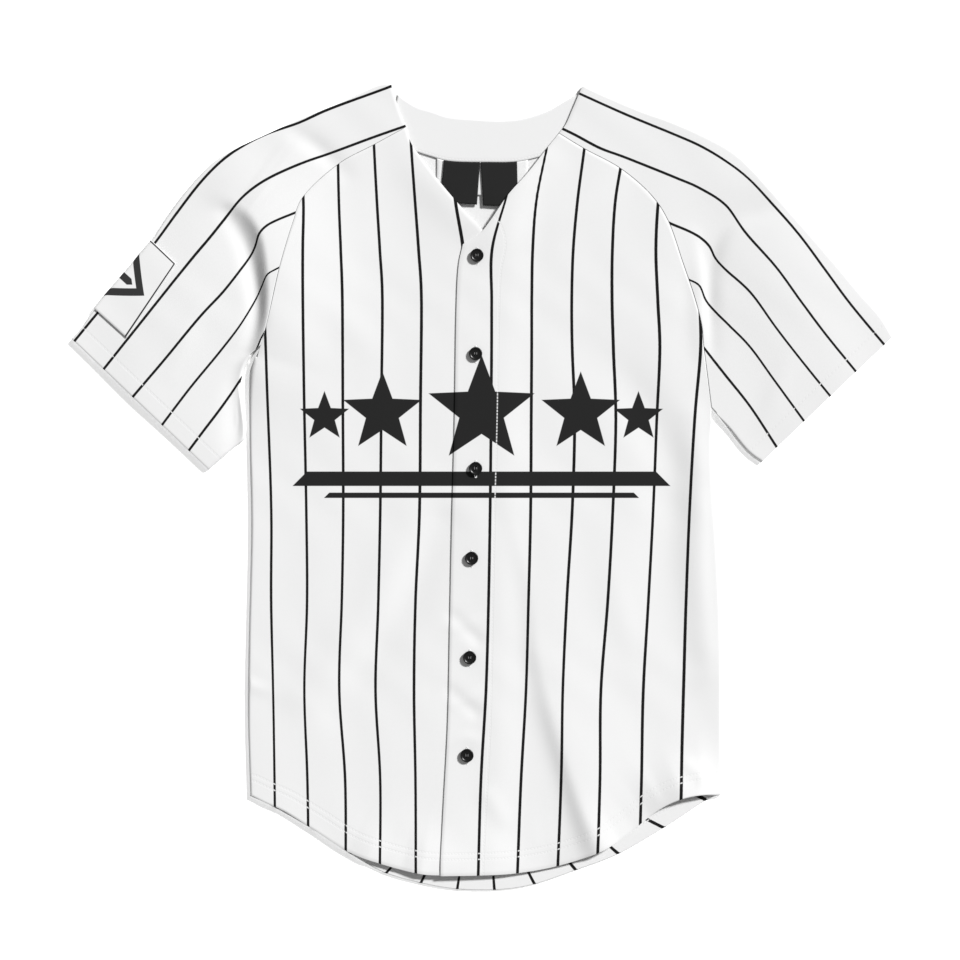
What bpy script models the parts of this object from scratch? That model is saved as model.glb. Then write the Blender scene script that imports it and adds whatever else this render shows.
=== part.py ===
"""Short-sleeved baseball jersey laid flat on its back, front up.

Metres, +Z up, +Y toward the neck, +X to the wearer's left. Tables and sizes are in millimetres.
The back lies on the surface, the two fronts and the upper halves of the sleeves lie over it.
"""

import math

import bmesh
import bpy
import numpy as np

MM = 0.001

# Cloth and the heights of its layers, each height that of the middle of the wall
WALL = 1.2
THIN_WALL = 1.0
GAP = 0.3
EASE = 0.05
BACK_MID = WALL / 2
FRONT_MID = 4.0
LOWEST_FRONT_MID = WALL + GAP + WALL / 2 + EASE
TRIM_MID = WALL + GAP + THIN_WALL / 2
TAB_MID = TRIM_MID + THIN_WALL + GAP
TURN_UP_RADIUS = (WALL + GAP) / 2
TURN_UP_DEPTH = 20.0
TURN_UP_END_INSET = 5.0

# Moves the middle of the outline to the origin
SHIFT_X = -1.0
SHIFT_Y = 1.0

# Where the top front laps over the lower one
LAP_RISE = WALL + 0.5
LAP_WIDTH = 46.0
LAP_FADE = 34.0

# Numbers of stations along each seam and edge
RAGLAN_STATIONS = 15
NECKLINE_STATIONS = 9
PLACKET_STATIONS = 27
ARM_STATIONS = 11
PATCH_STATIONS = 8
SIDE_STATIONS = 16
HEM_STATIONS = 33
TAB_COLUMNS = 11
ROLL_STEPS = 3
FOLD_STEPS = 6
ROLL_START = 40.0

# How sharply an edge's fit to its corner fades along it, as powers of the share left to run
NECK_FIT = 8
HEM_FIT = 4
ARMPIT_FIT = 6

# Outlines, a row per point: x, y
BACK_NECK = [(-61.5, 367), (-48, 363), (-30.5, 357.5), (-1.5, 355), (18, 354), (37.5, 355.5), (55, 360),
             (68.5, 365.5)]
NECKLINE_LEFT = [(75, 341.5), (62.5, 326), (45, 303.5), (25.5, 281.5), (8, 256), (-2.5, 243.5), (-18, 234)]
PLACKET = [(-18, 234), (-22.5, 210), (-24.5, 161), (-26, 64), (-28.5, -33), (-30.5, -130), (-32.5, -227),
           (-36.5, -304.5), (-39.5, -362), (-39.5, -377)]
RAGLAN_LEFT = [(75, 341.5), (100.5, 326), (134.5, 307.5), (163.5, 282.5), (181, 256), (194.5, 217.5),
               (206, 183.5), (213, 156), (215, 135), (219, 104), (222.5, 76)]
SIDE_LEFT = [(222.5, 76), (223.5, 40), (225, -4), (229.5, -72), (232.5, -149.5), (233, -246.5),
             (233.5, -299)]
HEM_LEFT = [(-39.5, -377), (-1.5, -376.5), (34.5, -374.5), (74, -367.5), (114, -354), (141, -337.5),
            (170, -315), (192.5, -303.5), (214, -299), (233.5, -299)]

NECKLINE_RIGHT = [(-73, 347.5), (-68.5, 332.5), (-58.5, 318), (-38.5, 292), (-16, 266), (1.5, 247.5), (16, 229)]
UNDERLAP = [(16, 229), (13, 180), (11, 64), (8, -72), (5.5, -188), (1.5, -304.5), (-1.5, -376.5)]
RAGLAN_RIGHT = [(-73, 347.5), (-105, 330), (-139, 311.5), (-172, 280.5), (-183, 253), (-195.5, 210.5),
                (-206, 163), (-213, 137)]
SIDE_RIGHT = [(-213, 137), (-220.5, 121), (-225, 102), (-225, 44.5), (-223.5, -42.5), (-226, -159),
              (-226.5, -227), (-224.5, -300.5)]
HEM_RIGHT = [(-1.5, -376.5), (-39.5, -376.5), (-62.5, -374.5), (-94.5, -366.5), (-129.5, -354),
             (-165.5, -331.5), (-192.5, -315), (-210, -307.5), (-224.5, -300.5)]

SHOULDER_LEFT = [(98.5, 389), (115, 381), (153.5, 364.5), (183, 354), (212, 341.5), (241, 326), (260.5, 309.5),
                 (280, 288), (304, 261), (328.5, 233)]
ARM_TOP_LEFT = [(328.5, 233), (347.5, 210.5), (367, 187), (386.5, 165), (399, 144.5)]
UNDERARM_LEFT = [(222.5, 76), (233.5, 63), (250.5, 40.5), (260.5, 30), (271, 22.5)]
CUFF_LEFT = [(399, 144.5), (337, 87.5), (271, 22.5)]
NECK_FRONT_LEFT = [(98.5, 389), (94.5, 379.5), (88, 364.5), (82, 351), (75, 341.5)]
NECK_BACK_LEFT = [(98.5, 389), (91.5, 381.5), (81, 373), (68.5, 365.5)]
BACK_RAGLAN_LEFT = [(68.5, 365.5), (105, 338.5), (144, 304.5), (175, 266), (194.5, 217.5), (208, 169),
                    (215, 135), (219, 104), (222.5, 76)]

SHOULDER_RIGHT = [(-87, 390), (-98.5, 389.5), (-118, 381), (-137.5, 371.5), (-176, 356), (-205, 342.5),
                  (-244, 324), (-263.5, 310.5), (-283, 290), (-302, 265), (-319.5, 237.5)]
ARM_TOP_RIGHT = [(-319.5, 237.5), (-341, 211.5), (-360.5, 189), (-376, 170), (-385.5, 156), (-397, 142.5)]
UNDERARM_RIGHT = [(-213, 137), (-224.5, 122), (-233, 99), (-230.5, 78.5), (-228.5, 48.5), (-241, 36),
                  (-264.5, 15.5)]
CUFF_RIGHT = [(-397, 142.5), (-367, 111.5), (-310, 58), (-264.5, 15.5)]
NECK_FRONT_RIGHT = [(-87, 390), (-82, 372.5), (-78, 360), (-73, 347.5)]
NECK_BACK_RIGHT = [(-87, 390), (-79, 381), (-70.5, 372.5), (-61.5, 367)]
BACK_RAGLAN_RIGHT = [(-61.5, 367), (-98.5, 340.5), (-142, 304.5), (-176, 263), (-195.5, 210.5), (-206, 163),
                     (-213, 137)]

BACK_HEM = [(-224.5, -300.5), (-200.5, -312), (-165.5, -332), (-129.5, -355.5), (-95.5, -374.5), (-59.5, -385),
            (-24.5, -391), (18, -391.5), (52, -386), (91.5, -372.5), (134.5, -356), (181, -329), (218.5, -304.5),
            (233.5, -299)]

FACING_TOP = [(-81, 379.5), (-72, 373), (-61.5, 367), (-48, 363), (-30.5, 357.5), (-1.5, 355), (18, 354),
              (37.5, 355.5), (55, 360), (68.5, 365.5), (81, 373), (93.5, 379.5)]
FACING_LOW = [(-75, 328), (-50, 320), (-30.5, 315), (3.5, 314), (37.5, 315), (73, 324)]
FACING_END_RIGHT = [(-81, 379.5), (-83, 360), (-75, 328)]
FACING_END_LEFT = [(93.5, 379.5), (94.5, 360), (73, 324)]

# Flat trim hung from the facing: its top from x to x, then its lower corners
SIZE_TAG = ((-43, 45), (-43, 282), (45, 282))
TAB_RIGHT = ((-36.4, -1.4), (-40.3, 274.5), (-4.4, 272.5))
TAB_LEFT = ((-0.9, 34.4), (1.5, 271.6), (35.4, 270.6))

# Folds of the front, a row per point along each: x, y, height; then the reach to its left and right
FOLDS = {
    "armhole ridge right": ([(-237, 274, 2.5), (-218, 262, 5.5), (-207, 233, 6.5), (-203, 190, 6.5),
                             (-207, 156, 6), (-217, 126, 4)], 30, 9),
    "armhole trough right": ([(-247, 266, -0.8), (-229, 234, -1.8), (-219, 195, -2.2), (-216, 161, -2.2),
                              (-222, 132, -1.6)], 8, 9),
    "armhole ridge left": ([(204, 215, 1), (210, 183, 3.2), (211, 140, 3), (214, 100, 1.5)], 6, 26),
    "sleeve valley left": ([(280, 277, -1), (251, 260, -2), (229, 243, -2.4), (218, 217, -2.4),
                            (220, 185, -2), (222, 140, -1.4)], 15, 11),
    "hem crease": ([(32, -33, 0.8), (54, -101, 1.8), (62, -169, 2.2), (78, -227, 3.2), (99, -285, 4.4),
                    (120, -352, 5.5)], 34, 12),
    "belly trough right": ([(-40, -38, -0.8), (-69, -111, -1.4), (-108, -169, -1.4), (-142, -217, -0.6)], 20, 16),
    "belly ridge right": ([(-62, -20, 0.6), (-95, -95, 1.2), (-136, -150, 1.2), (-172, -200, 0.6)], 18, 22),
    "chest trough left": ([(100, 142, -0.6), (154, 83, -1.4), (178, 35, -1.6), (183, -4, -1.5), (183, -86, -1.2),
                           (207, -198, -0.6)], 20, 26),
    "side ridge left": ([(206, 66, 0.8), (210, -4, 1.6), (211, -86, 1.4), (218, -180, 0.8)], 12, 16),
    "hem lift left": ([(176, -268, 0.5), (194, -303, 5)], 22, 24),
    "hem lift middle": ([(-5, -340, 0.3), (-5, -377, 2.2)], 46, 46),
    "hem lift right": ([(-70, -325, 0.3), (-84, -369, 3)], 24, 24),
    "shoulder crease right": ([(-181, 343, -0.6), (-157, 326, -1.2), (-132, 302, -0.5)], 9, 9),
    "shoulder ridge right": ([(-226, 316, 1.5), (-247, 268, 3)], 20, 16),
    "sleeve puff right": ([(-250, 290, 1), (-290, 190, 2), (-330, 105, 1.4)], 48, 48),
    "sleeve puff left": ([(255, 285, 1), (300, 190, 2), (334, 98, 1.4)], 48, 48),
    "neck stand": ([(-60, 306, 1), (-38, 286, 1.8), (-10, 258, 1.8), (14, 262, 1.8), (38, 292, 1.8),
                    (58, 312, 1)], 22, 22),
    "pucker upper": ([(-28, -125, -0.5), (-4, -149, -0.8)], 6, 6),
    "pucker lower": ([(-30, -198, -0.5), (-6, -219, -0.8)], 6, 6),
}

# Buttons on the top front, a row each: x, y
BUTTONS = [(-4.4, 223.1), (-5.7, 128), (-5.7, 17), (-9.6, -69.8), (-11.5, -165.9), (-14.1, -260.5)]
BUTTON_RADIUS = 6.4
BUTTON_THICK = 2.6
BUTTON_RIM = 1.3
BUTTON_DISH = 0.7
BUTTON_DISH_SLOPE = 0.8
BUTTON_FACE_FALL = 0.1
BUTTON_EDGE = 0.6
BUTTON_SIDES = 24
HOLE_RADIUS = 0.85
HOLE_SPREAD = 1.45
HOLE_SIDES = 6

# Columns across a sleeve as shares of its width from the fold, and those the patch spans
SLEEVE_FRONT_SHARES = [0, 0.1, 0.215, 0.31, 0.4, 0.48, 0.55, 0.62, 0.68, 0.74, 0.79, 0.84, 0.88, 0.92, 0.96, 1]
SLEEVE_BACK_SHARES = [0, 0.15, 0.33, 0.55, 0.78, 1]
PATCH_FRONT_COLUMN = 2
PATCH_BACK_COLUMN = 2
PATCH_STAND = WALL / 2 + GAP + THIN_WALL / 2
PATCH_LIFT = PATCH_STAND + THIN_WALL / 2 - BACK_MID
PATCH_CENTRE = (-335, 187)
PATCH_LIFT_REACH = 92.0
PATCH_LIFT_FADE = 25.0
PATCH_EASE_SHARE = 0.4


def smoothstep(value):
    """Ease from 0 to 1 as the value goes from 0 to 1."""
    value = np.clip(value, 0.0, 1.0)
    return value * value * (3 - 2 * value)


def dense_curve(table, per_span=14):
    """Points close together on a smooth curve through a table's rows."""
    rows = np.array(table, float)
    padded = np.vstack([2 * rows[0] - rows[1], rows, 2 * rows[-1] - rows[-2]])
    steps = np.linspace(0, 1, per_span, endpoint=False)[:, None]
    spans = []
    for before, start, end, after in zip(padded, padded[1:], padded[2:], padded[3:]):
        leave = (end - before) / 2
        arrive = (after - start) / 2
        spans.append(start + leave * steps + (3 * (end - start) - 2 * leave - arrive) * steps**2
                     + (2 * (start - end) + leave + arrive) * steps**3)
    return np.vstack(spans + [rows[-1:]])


def along(table, stations):
    """Evenly spaced stations on the smooth curve through a table's rows."""
    points = dense_curve(table)
    travelled = np.concatenate([[0], np.cumsum(np.linalg.norm(np.diff(points[:, :2], axis=0), axis=1))])
    wanted = np.linspace(0, travelled[-1], stations)
    return np.column_stack([np.interp(wanted, travelled, column) for column in points.T])


def chain(*runs):
    """Join runs of stations whose ends meet."""
    return np.vstack([runs[0]] + [run[1:] for run in runs[1:]])


def side_normals(points):
    """Unit normals of a line seen from above, to the left of its direction."""
    direction = np.gradient(points[:, :2], axis=0)
    direction /= np.linalg.norm(direction, axis=1)[:, None]
    return np.column_stack([-direction[:, 1], direction[:, 0]])


def moved(points, distance):
    """Move a line sideways, to the left of its direction."""
    return points + side_normals(points) * np.reshape(distance, (-1, 1))


def travelled(points):
    """Distance along a line at each of its points."""
    return np.concatenate([[0], np.cumsum(np.linalg.norm(np.diff(points, axis=0), axis=1))])


def coons(top, bottom, start, end, across=None):
    """Fill four edges; top and bottom run from start to end, rows run from top to bottom."""
    down = np.linspace(0, 1, len(start))[:, None, None]
    side = (np.linspace(0, 1, len(top)) if across is None else np.array(across))[None, :, None]
    ruled = (1 - side) * start[:, None] + side * end[:, None] + (1 - down) * top[None] + down * bottom[None]
    corners = ((1 - side) * (1 - down) * top[0] + side * (1 - down) * top[-1]
               + (1 - side) * down * bottom[0] + side * down * bottom[-1])
    return ruled - corners


def relaxed(plan, rounds=60):
    """Even out the inner points of a grid seen from above."""
    plan = plan.copy()
    for _ in range(rounds):
        plan[1:-1, 1:-1] = (plan[:-2, 1:-1] + plan[2:, 1:-1] + plan[1:-1, :-2] + plan[1:-1, 2:]) / 4
    return plan


def at_shares(table, shares):
    """Points on a curve at shares of its length."""
    points = dense_curve(table)
    length = travelled(points)
    return np.column_stack([np.interp(np.array(shares) * length[-1], length, column) for column in points.T])


def front_height(points):
    """Height of the middle of the front layer over points seen from above."""
    flat = points.reshape(-1, 2)
    total = np.full(len(flat), FRONT_MID)
    for path, reach_left, reach_right in FOLDS.values():
        line = along(path, 24)
        away = flat[:, None] - line[None, :, :2]
        distance = np.linalg.norm(away, axis=2)
        nearest = distance.argmin(axis=1)
        every = np.arange(len(flat))
        left = np.einsum("ij,ij->i", away[every, nearest], side_normals(line)[nearest]) > 0
        reach = np.where(left, reach_left, reach_right)
        total += line[nearest, 2] * np.exp(-((distance[every, nearest] / reach) ** 2))
    return np.maximum(total, LOWEST_FRONT_MID).reshape(points.shape[:-1])


def back_height(points):
    """Height of the middle of the back layer, raised where the sleeve patch passes under it."""
    distance = np.linalg.norm(points - np.array(PATCH_CENTRE, float), axis=-1)
    return BACK_MID + PATCH_LIFT * smoothstep((PATCH_LIFT_REACH - distance) / PATCH_LIFT_FADE)


def raised(points, height):
    """Points seen from above, with their height as a third column."""
    return np.concatenate([points, height[..., None]], axis=-1)


def roll_strip(edge, outward, height, reach):
    """Columns that curl from an edge down to the layer under it, fully so once past the seam's start."""
    radius = (height - WALL - GAP)[:, None]
    angle = (reach * math.pi / 2)[:, None] * np.linspace(0, 1, ROLL_STEPS + 1)
    plan = edge[:, None] + outward[:, None] * (radius * np.sin(angle))[..., None]
    return raised(plan, height[:, None] - radius * (1 - np.cos(angle)))


def roll_inset(line, toward_left):
    """An edge line moved in by what its roll takes, with the share of the roll and its outward direction."""
    share = smoothstep(travelled(line) / ROLL_START)
    sign = 1 if toward_left else -1
    height = front_height(line)
    take = (height - WALL - GAP) * np.sin(share * math.pi / 2) + WALL / 2 * share
    return moved(line, sign * take), share, -sign * side_normals(line)


def placed(point):
    """A point of the tables, in millimetres, as metres from the origin."""
    return (point[0] + SHIFT_X) * MM, (point[1] + SHIFT_Y) * MM, point[2] * MM


def sheet_object(name, grids, wall, material, outline=None):
    """Build one cloth piece from grids of its middle surface and a flat outline, given the cloth's wall."""
    shape = bmesh.new()
    if outline is not None:
        shape.faces.new([shape.verts.new(placed(point)) for point in outline])
    for grid in grids:
        rows, columns = grid.shape[:2]
        made = bmesh.ops.create_grid(shape, x_segments=columns - 1, y_segments=rows - 1, size=1.0)
        for vertex, point in zip(made["verts"], grid.reshape(-1, 3)):
            vertex.co = placed(point)
    bmesh.ops.remove_doubles(shape, verts=shape.verts, dist=0.01 * MM)
    bmesh.ops.recalc_face_normals(shape, faces=shape.faces)
    return finish_object(name, shape, material, wall)


def finish_object(name, shape, material, wall=None):
    """Turn a shape into a named object with its material, thickened where a wall is given."""
    mesh = bpy.data.meshes.new(name)
    shape.to_mesh(mesh)
    shape.free()
    for face in mesh.polygons:
        face.use_smooth = True
    mesh.materials.append(material)
    piece = bpy.data.objects.new(name, mesh)
    bpy.context.collection.objects.link(piece)
    if wall:
        thicken = piece.modifiers.new("wall", "SOLIDIFY")
        thicken.thickness = wall * MM
        thicken.offset = 0.0
        thicken.use_even_offset = True
        thicken.use_quality_normals = True
    return piece


def finish_material(name, colour, roughness):
    """A plain finish with the colour and roughness of the piece."""
    material = bpy.data.materials.new(name)
    material.use_nodes = True
    shader = material.node_tree.nodes["Principled BSDF"]
    shader.inputs["Base Color"].default_value = (*colour, 1.0)
    shader.inputs["Roughness"].default_value = roughness
    shader.inputs["Metallic"].default_value = 0.0
    material.diffuse_color = (*colour, 1.0)
    return material


def front_grids(raglan, side, hem, inner, toward_left, lap=None):
    """Middle surface of one front: its body and the roll along its side seam."""
    rows = len(inner)
    body_sign = 1 if toward_left else -1
    raglan = moved(along(raglan, RAGLAN_STATIONS), -body_sign * GAP / 2)
    edge, share, outward = roll_inset(along(side, rows), not toward_left)
    inner = inner + (raglan[0] - inner[0]) * np.linspace(1, 0, rows)[:, None] ** NECK_FIT
    edge = edge + (raglan[-1] - edge[0]) * np.linspace(1, 0, rows)[:, None] ** NECK_FIT
    bottom = along(hem, RAGLAN_STATIONS)
    bottom = bottom + (edge[-1] - bottom[-1]) * np.linspace(0, 1, RAGLAN_STATIONS)[:, None] ** HEM_FIT
    plan = relaxed(coons(raglan, bottom, inner, edge))
    height = front_height(plan)
    if lap is not None:
        height = height + lap_rise(plan)
    strip = roll_strip(plan[1:, -1], outward[1:], height[1:, -1], share[1:])
    return [raised(plan, height), strip]


def lap_rise(points):
    """Rise of the top front where it lies over the lower one."""
    placket = dense_curve(PLACKET)[::-1]
    opening = np.interp(points[..., 1], placket[:, 1], placket[:, 0])
    return LAP_RISE * smoothstep((LAP_WIDTH + LAP_FADE - (points[..., 0] - opening)) / LAP_FADE)


def sleeve_grids(shoulder, arm_top, raglan, back_raglan, underarm, cuff, neck_front, neck_back, sign):
    """Middle surface of one sleeve, folded along its top, and the roll along its underarm seam."""
    top_line = chain(along(shoulder, RAGLAN_STATIONS), along(arm_top, ARM_STATIONS))
    outward = sign * side_normals(top_line)
    height = front_height(top_line)
    radius = (height - back_height(top_line)) / 2
    fold_line = top_line - outward * (radius + WALL / 2)[:, None]

    front_low = moved(along(raglan, RAGLAN_STATIONS), sign * GAP / 2)
    back_low = moved(along(back_raglan, RAGLAN_STATIONS), sign * GAP / 2)
    arm_low = along(underarm, ARM_STATIONS)
    arm_low = arm_low + (front_low[-1] - arm_low[0]) * np.linspace(1, 0, ARM_STATIONS)[:, None] ** ARMPIT_FIT
    arm_edge, share, roll_out = roll_inset(arm_low, sign > 0)
    front_edge = chain(front_low, arm_edge)
    back_edge = chain(back_low, arm_low)

    def fill(near, far, neck, shares):
        start = at_shares(neck, shares)
        start = start + (near[0] - start[0]) * (1 - np.array(shares))[:, None]
        start = start + (far[0] - start[-1]) * np.array(shares)[:, None]
        end = at_shares(cuff, shares)
        end = end + (near[-1] - end[0]) * (1 - np.array(shares))[:, None]
        end = end + (far[-1] - end[-1]) * np.array(shares)[:, None]
        return coons(start, end, near, far, shares)

    front = fill(fold_line, front_edge, neck_front, SLEEVE_FRONT_SHARES)
    if sign < 0:
        front = straightened(front)
    back = fill(fold_line, back_edge, neck_back, SLEEVE_BACK_SHARES)
    front_mid = front_height(front)
    back_mid = back_height(back)

    turn = np.linspace(math.pi / 2, -math.pi / 2, FOLD_STEPS + 1)[1:-1]
    fold_radius = (front_mid[:, 0] - back_mid[:, 0]) / 2
    fold_centre = (front_mid[:, 0] + back_mid[:, 0]) / 2
    fold_plan = fold_line[:, None] + outward[:, None] * (fold_radius[:, None] * np.cos(turn))[..., None]
    fold = raised(fold_plan, fold_centre[:, None] + fold_radius[:, None] * np.sin(turn))
    whole = np.concatenate([raised(front, front_mid)[:, ::-1], fold, raised(back, back_mid)], axis=1)

    first = RAGLAN_STATIONS
    strip = roll_strip(front[first:, -1], roll_out[1:], front_mid[first:, -1], share[1:])
    return [whole, strip]


def outward_normals(grid):
    """Unit normals of a grid's surface at its points."""
    normal = np.cross(np.gradient(grid, axis=1), np.gradient(grid, axis=0))
    return normal / np.linalg.norm(normal, axis=2)[..., None]


def straightened(front):
    """The front layer of the patched sleeve, eased so that the patch's inner edge is straight."""
    rows = slice(RAGLAN_STATIONS - 1, RAGLAN_STATIONS - 1 + PATCH_STATIONS)
    shares = np.array(SLEEVE_FRONT_SHARES)
    edge = front[rows, PATCH_FRONT_COLUMN]
    ease = np.interp(shares, [0, shares[PATCH_FRONT_COLUMN], PATCH_EASE_SHARE], [0, 1, 0])
    front = front.copy()
    front[rows] += (np.linspace(edge[0], edge[-1], PATCH_STATIONS) - edge)[:, None] * ease[None, :, None]
    return front


def patch_grid(sleeve):
    """Middle surface of the sleeve patch, made from the sleeve's points moved out."""
    rows = slice(RAGLAN_STATIONS - 1, RAGLAN_STATIONS - 1 + PATCH_STATIONS)
    fold_column = len(SLEEVE_FRONT_SHARES) - 1
    columns = slice(fold_column - PATCH_FRONT_COLUMN, fold_column + FOLD_STEPS + PATCH_BACK_COLUMN + 1)
    normal = outward_normals(sleeve)[rows, columns]
    normal *= np.sign(normal[0, 0, 2])
    return sleeve[rows, columns] + normal * PATCH_STAND


def back_outline():
    """Plan of the back from the right armpit over the neck to the left armpit, then round by the hem."""
    left = moved(along(BACK_RAGLAN_LEFT, RAGLAN_STATIONS), -GAP / 2)
    right = moved(along(BACK_RAGLAN_RIGHT, RAGLAN_STATIONS), GAP / 2)
    neck = along([tuple(right[0])] + BACK_NECK[1:-1] + [tuple(left[0])], RAGLAN_STATIONS)
    hem = turn_up_grid()[0][:, :2]
    side_left = along([tuple(left[-1])] + SIDE_LEFT[1:-1] + [tuple(hem[-1])], SIDE_STATIONS)
    side_right = along([tuple(right[-1])] + SIDE_RIGHT[1:-1] + [tuple(hem[0])], SIDE_STATIONS)
    plan = chain(right[::-1], neck, left, side_left, hem[::-1], side_right[::-1])[:-1]
    return raised(plan, np.full(len(plan), BACK_MID))


def turn_up_grid():
    """Middle surface of the back's hem, from its fold to its cut edge inside the body."""
    length = travelled(dense_curve(BACK_HEM))[-1]
    rows = []
    for share in np.linspace(0, 1, FOLD_STEPS + 1):
        angle = share * math.pi
        end = TURN_UP_END_INSET / length * share
        line = at_shares(BACK_HEM, np.linspace(end, 1 - end, HEM_STATIONS))
        line = moved(line, TURN_UP_RADIUS * (1 - math.sin(angle)) + WALL / 2)
        rows.append(raised(line, np.full(len(line), BACK_MID + TURN_UP_RADIUS * (1 - math.cos(angle)))))
    for depth in (TURN_UP_DEPTH / 2, TURN_UP_DEPTH):
        line = moved(rows[FOLD_STEPS][:, :2], depth)
        rows.append(raised(line, np.full(len(line), BACK_MID + 2 * TURN_UP_RADIUS)))
    return np.array(rows)


def hung_grid(top, low_right, low_left, height):
    """Middle surface of a flat piece that hangs from the lower edge of the facing."""
    edge = dense_curve(FACING_LOW)
    across = np.linspace(top[0], top[1], TAB_COLUMNS)
    upper = np.column_stack([across, np.interp(across, edge[:, 0], edge[:, 1]) - GAP])
    lower = np.linspace(low_right, low_left, TAB_COLUMNS)
    return raised(np.array([upper, lower]), np.full((2, TAB_COLUMNS), height))


def facing_grid():
    """Middle surface of the plain band inside the back of the neck."""
    plan = coons(along(FACING_TOP, 17), along(FACING_LOW, 17), along(FACING_END_RIGHT, 4),
                 along(FACING_END_LEFT, 4))
    return raised(plan, np.full(plan.shape[:2], TRIM_MID))


def button_object(number, place, material):
    """One four-holed button with a rounded rim and a dished face, lying on the top front."""
    x, y = place
    around = np.array([(x + BUTTON_RADIUS * math.cos(a), y + BUTTON_RADIUS * math.sin(a))
                       for a in np.linspace(0, 2 * math.pi, 13)] + [place])
    base = (front_height(around) + lap_rise(around)).max() + WALL / 2 + GAP
    inner = BUTTON_RADIUS - BUTTON_RIM
    profile = [(0, 0), (BUTTON_RADIUS - BUTTON_EDGE, 0), (BUTTON_RADIUS, BUTTON_EDGE),
               (BUTTON_RADIUS, BUTTON_THICK - BUTTON_EDGE), (BUTTON_RADIUS - BUTTON_EDGE, BUTTON_THICK),
               (inner, BUTTON_THICK - BUTTON_FACE_FALL), (inner - BUTTON_DISH_SLOPE, BUTTON_THICK - BUTTON_DISH),
               (0, BUTTON_THICK - BUTTON_DISH)]
    shape = bmesh.new()
    line = [shape.verts.new((radius * MM, 0, height * MM)) for radius, height in profile]
    for start, end in zip(line, line[1:]):
        shape.edges.new((start, end))
    bmesh.ops.spin(shape, geom=shape.verts[:] + shape.edges[:], cent=(0, 0, 0), axis=(0, 0, 1),
                   angle=2 * math.pi, steps=BUTTON_SIDES, use_merge=True)
    bmesh.ops.remove_doubles(shape, verts=shape.verts, dist=0.001 * MM)
    bmesh.ops.recalc_face_normals(shape, faces=shape.faces)
    bmesh.ops.translate(shape, verts=shape.verts, vec=((x + SHIFT_X) * MM, (y + SHIFT_Y) * MM, base * MM))
    piece = finish_object(f"button_{number}", shape, material)

    holes = bmesh.new()
    for quarter in range(4):
        angle = math.pi / 4 + quarter * math.pi / 2
        made = bmesh.ops.create_cone(holes, cap_ends=True, segments=HOLE_SIDES, radius1=HOLE_RADIUS * MM,
                                     radius2=HOLE_RADIUS * MM, depth=3 * BUTTON_THICK * MM)
        offset = (x + SHIFT_X + HOLE_SPREAD * math.cos(angle), y + SHIFT_Y + HOLE_SPREAD * math.sin(angle), base)
        bmesh.ops.translate(holes, verts=made["verts"], vec=[value * MM for value in offset])
    cutter = finish_object(f"button_{number}_holes", holes, material)
    cutter.hide_render = True
    cutter.display_type = "WIRE"
    cut = piece.modifiers.new("holes", "BOOLEAN")
    cut.operation = "DIFFERENCE"
    cut.solver = "EXACT"
    cut.object = cutter
    cutter.parent = piece
    return piece


def main():
    """Build every piece of the jersey."""
    for old in list(bpy.data.objects):
        bpy.data.objects.remove(old)
    cloth = finish_material("white_cloth", (0.86, 0.86, 0.86), 0.85)
    inside = finish_material("inside_cloth", (0.84, 0.84, 0.83), 0.9)
    label = finish_material("label_satin", (0.03, 0.03, 0.03), 0.55)
    tag = finish_material("tag_tape", (0.88, 0.88, 0.87), 0.7)
    resin = finish_material("button_resin", (0.015, 0.015, 0.015), 0.25)

    neck_rows = NECKLINE_STATIONS
    top_inner = chain(along(NECKLINE_LEFT, neck_rows), along(PLACKET, PLACKET_STATIONS))
    low_inner = chain(along(NECKLINE_RIGHT, neck_rows), along(UNDERLAP, PLACKET_STATIONS))
    sheet_object("back", [turn_up_grid()], WALL, cloth, back_outline())
    over = front_grids(RAGLAN_LEFT, SIDE_LEFT, HEM_LEFT, top_inner, True, lap=True)
    under = front_grids(RAGLAN_RIGHT, SIDE_RIGHT, HEM_RIGHT, low_inner, False)
    sheet_object("front_left", over, WALL, cloth)
    sheet_object("front_right", under, WALL, cloth)

    left = sleeve_grids(SHOULDER_LEFT, ARM_TOP_LEFT, RAGLAN_LEFT, BACK_RAGLAN_LEFT, UNDERARM_LEFT, CUFF_LEFT,
                        NECK_FRONT_LEFT, NECK_BACK_LEFT, 1)
    right = sleeve_grids(SHOULDER_RIGHT, ARM_TOP_RIGHT, RAGLAN_RIGHT, BACK_RAGLAN_RIGHT, UNDERARM_RIGHT,
                         CUFF_RIGHT, NECK_FRONT_RIGHT, NECK_BACK_RIGHT, -1)
    sheet_object("sleeve_left", left, WALL, cloth)
    sheet_object("sleeve_right", right, WALL, cloth)
    sheet_object("sleeve_patch", [patch_grid(right[0])], THIN_WALL, tag)

    sheet_object("neck_facing", [facing_grid()], THIN_WALL, inside)
    sheet_object("size_tag", [hung_grid(*SIZE_TAG, TRIM_MID)], THIN_WALL, tag)
    sheet_object("neck_tab_right", [hung_grid(*TAB_RIGHT, TAB_MID)], THIN_WALL, label)
    sheet_object("neck_tab_left", [hung_grid(*TAB_LEFT, TAB_MID)], THIN_WALL, label)
    for number, place in enumerate(BUTTONS, 1):
        button_object(number, place, resin)


main()
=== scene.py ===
"""Looks of a short-sleeved baseball jersey laid flat: pinstriped cloth, print, patch, labels and buttons.

Sizes in the tables are millimetres in the CAD model's own layout; placed() turns them into metres.
"""

import logging
import math
from dataclasses import dataclass, field
from enum import Enum
from typing import Iterable, Optional, Sequence, Union

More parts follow.
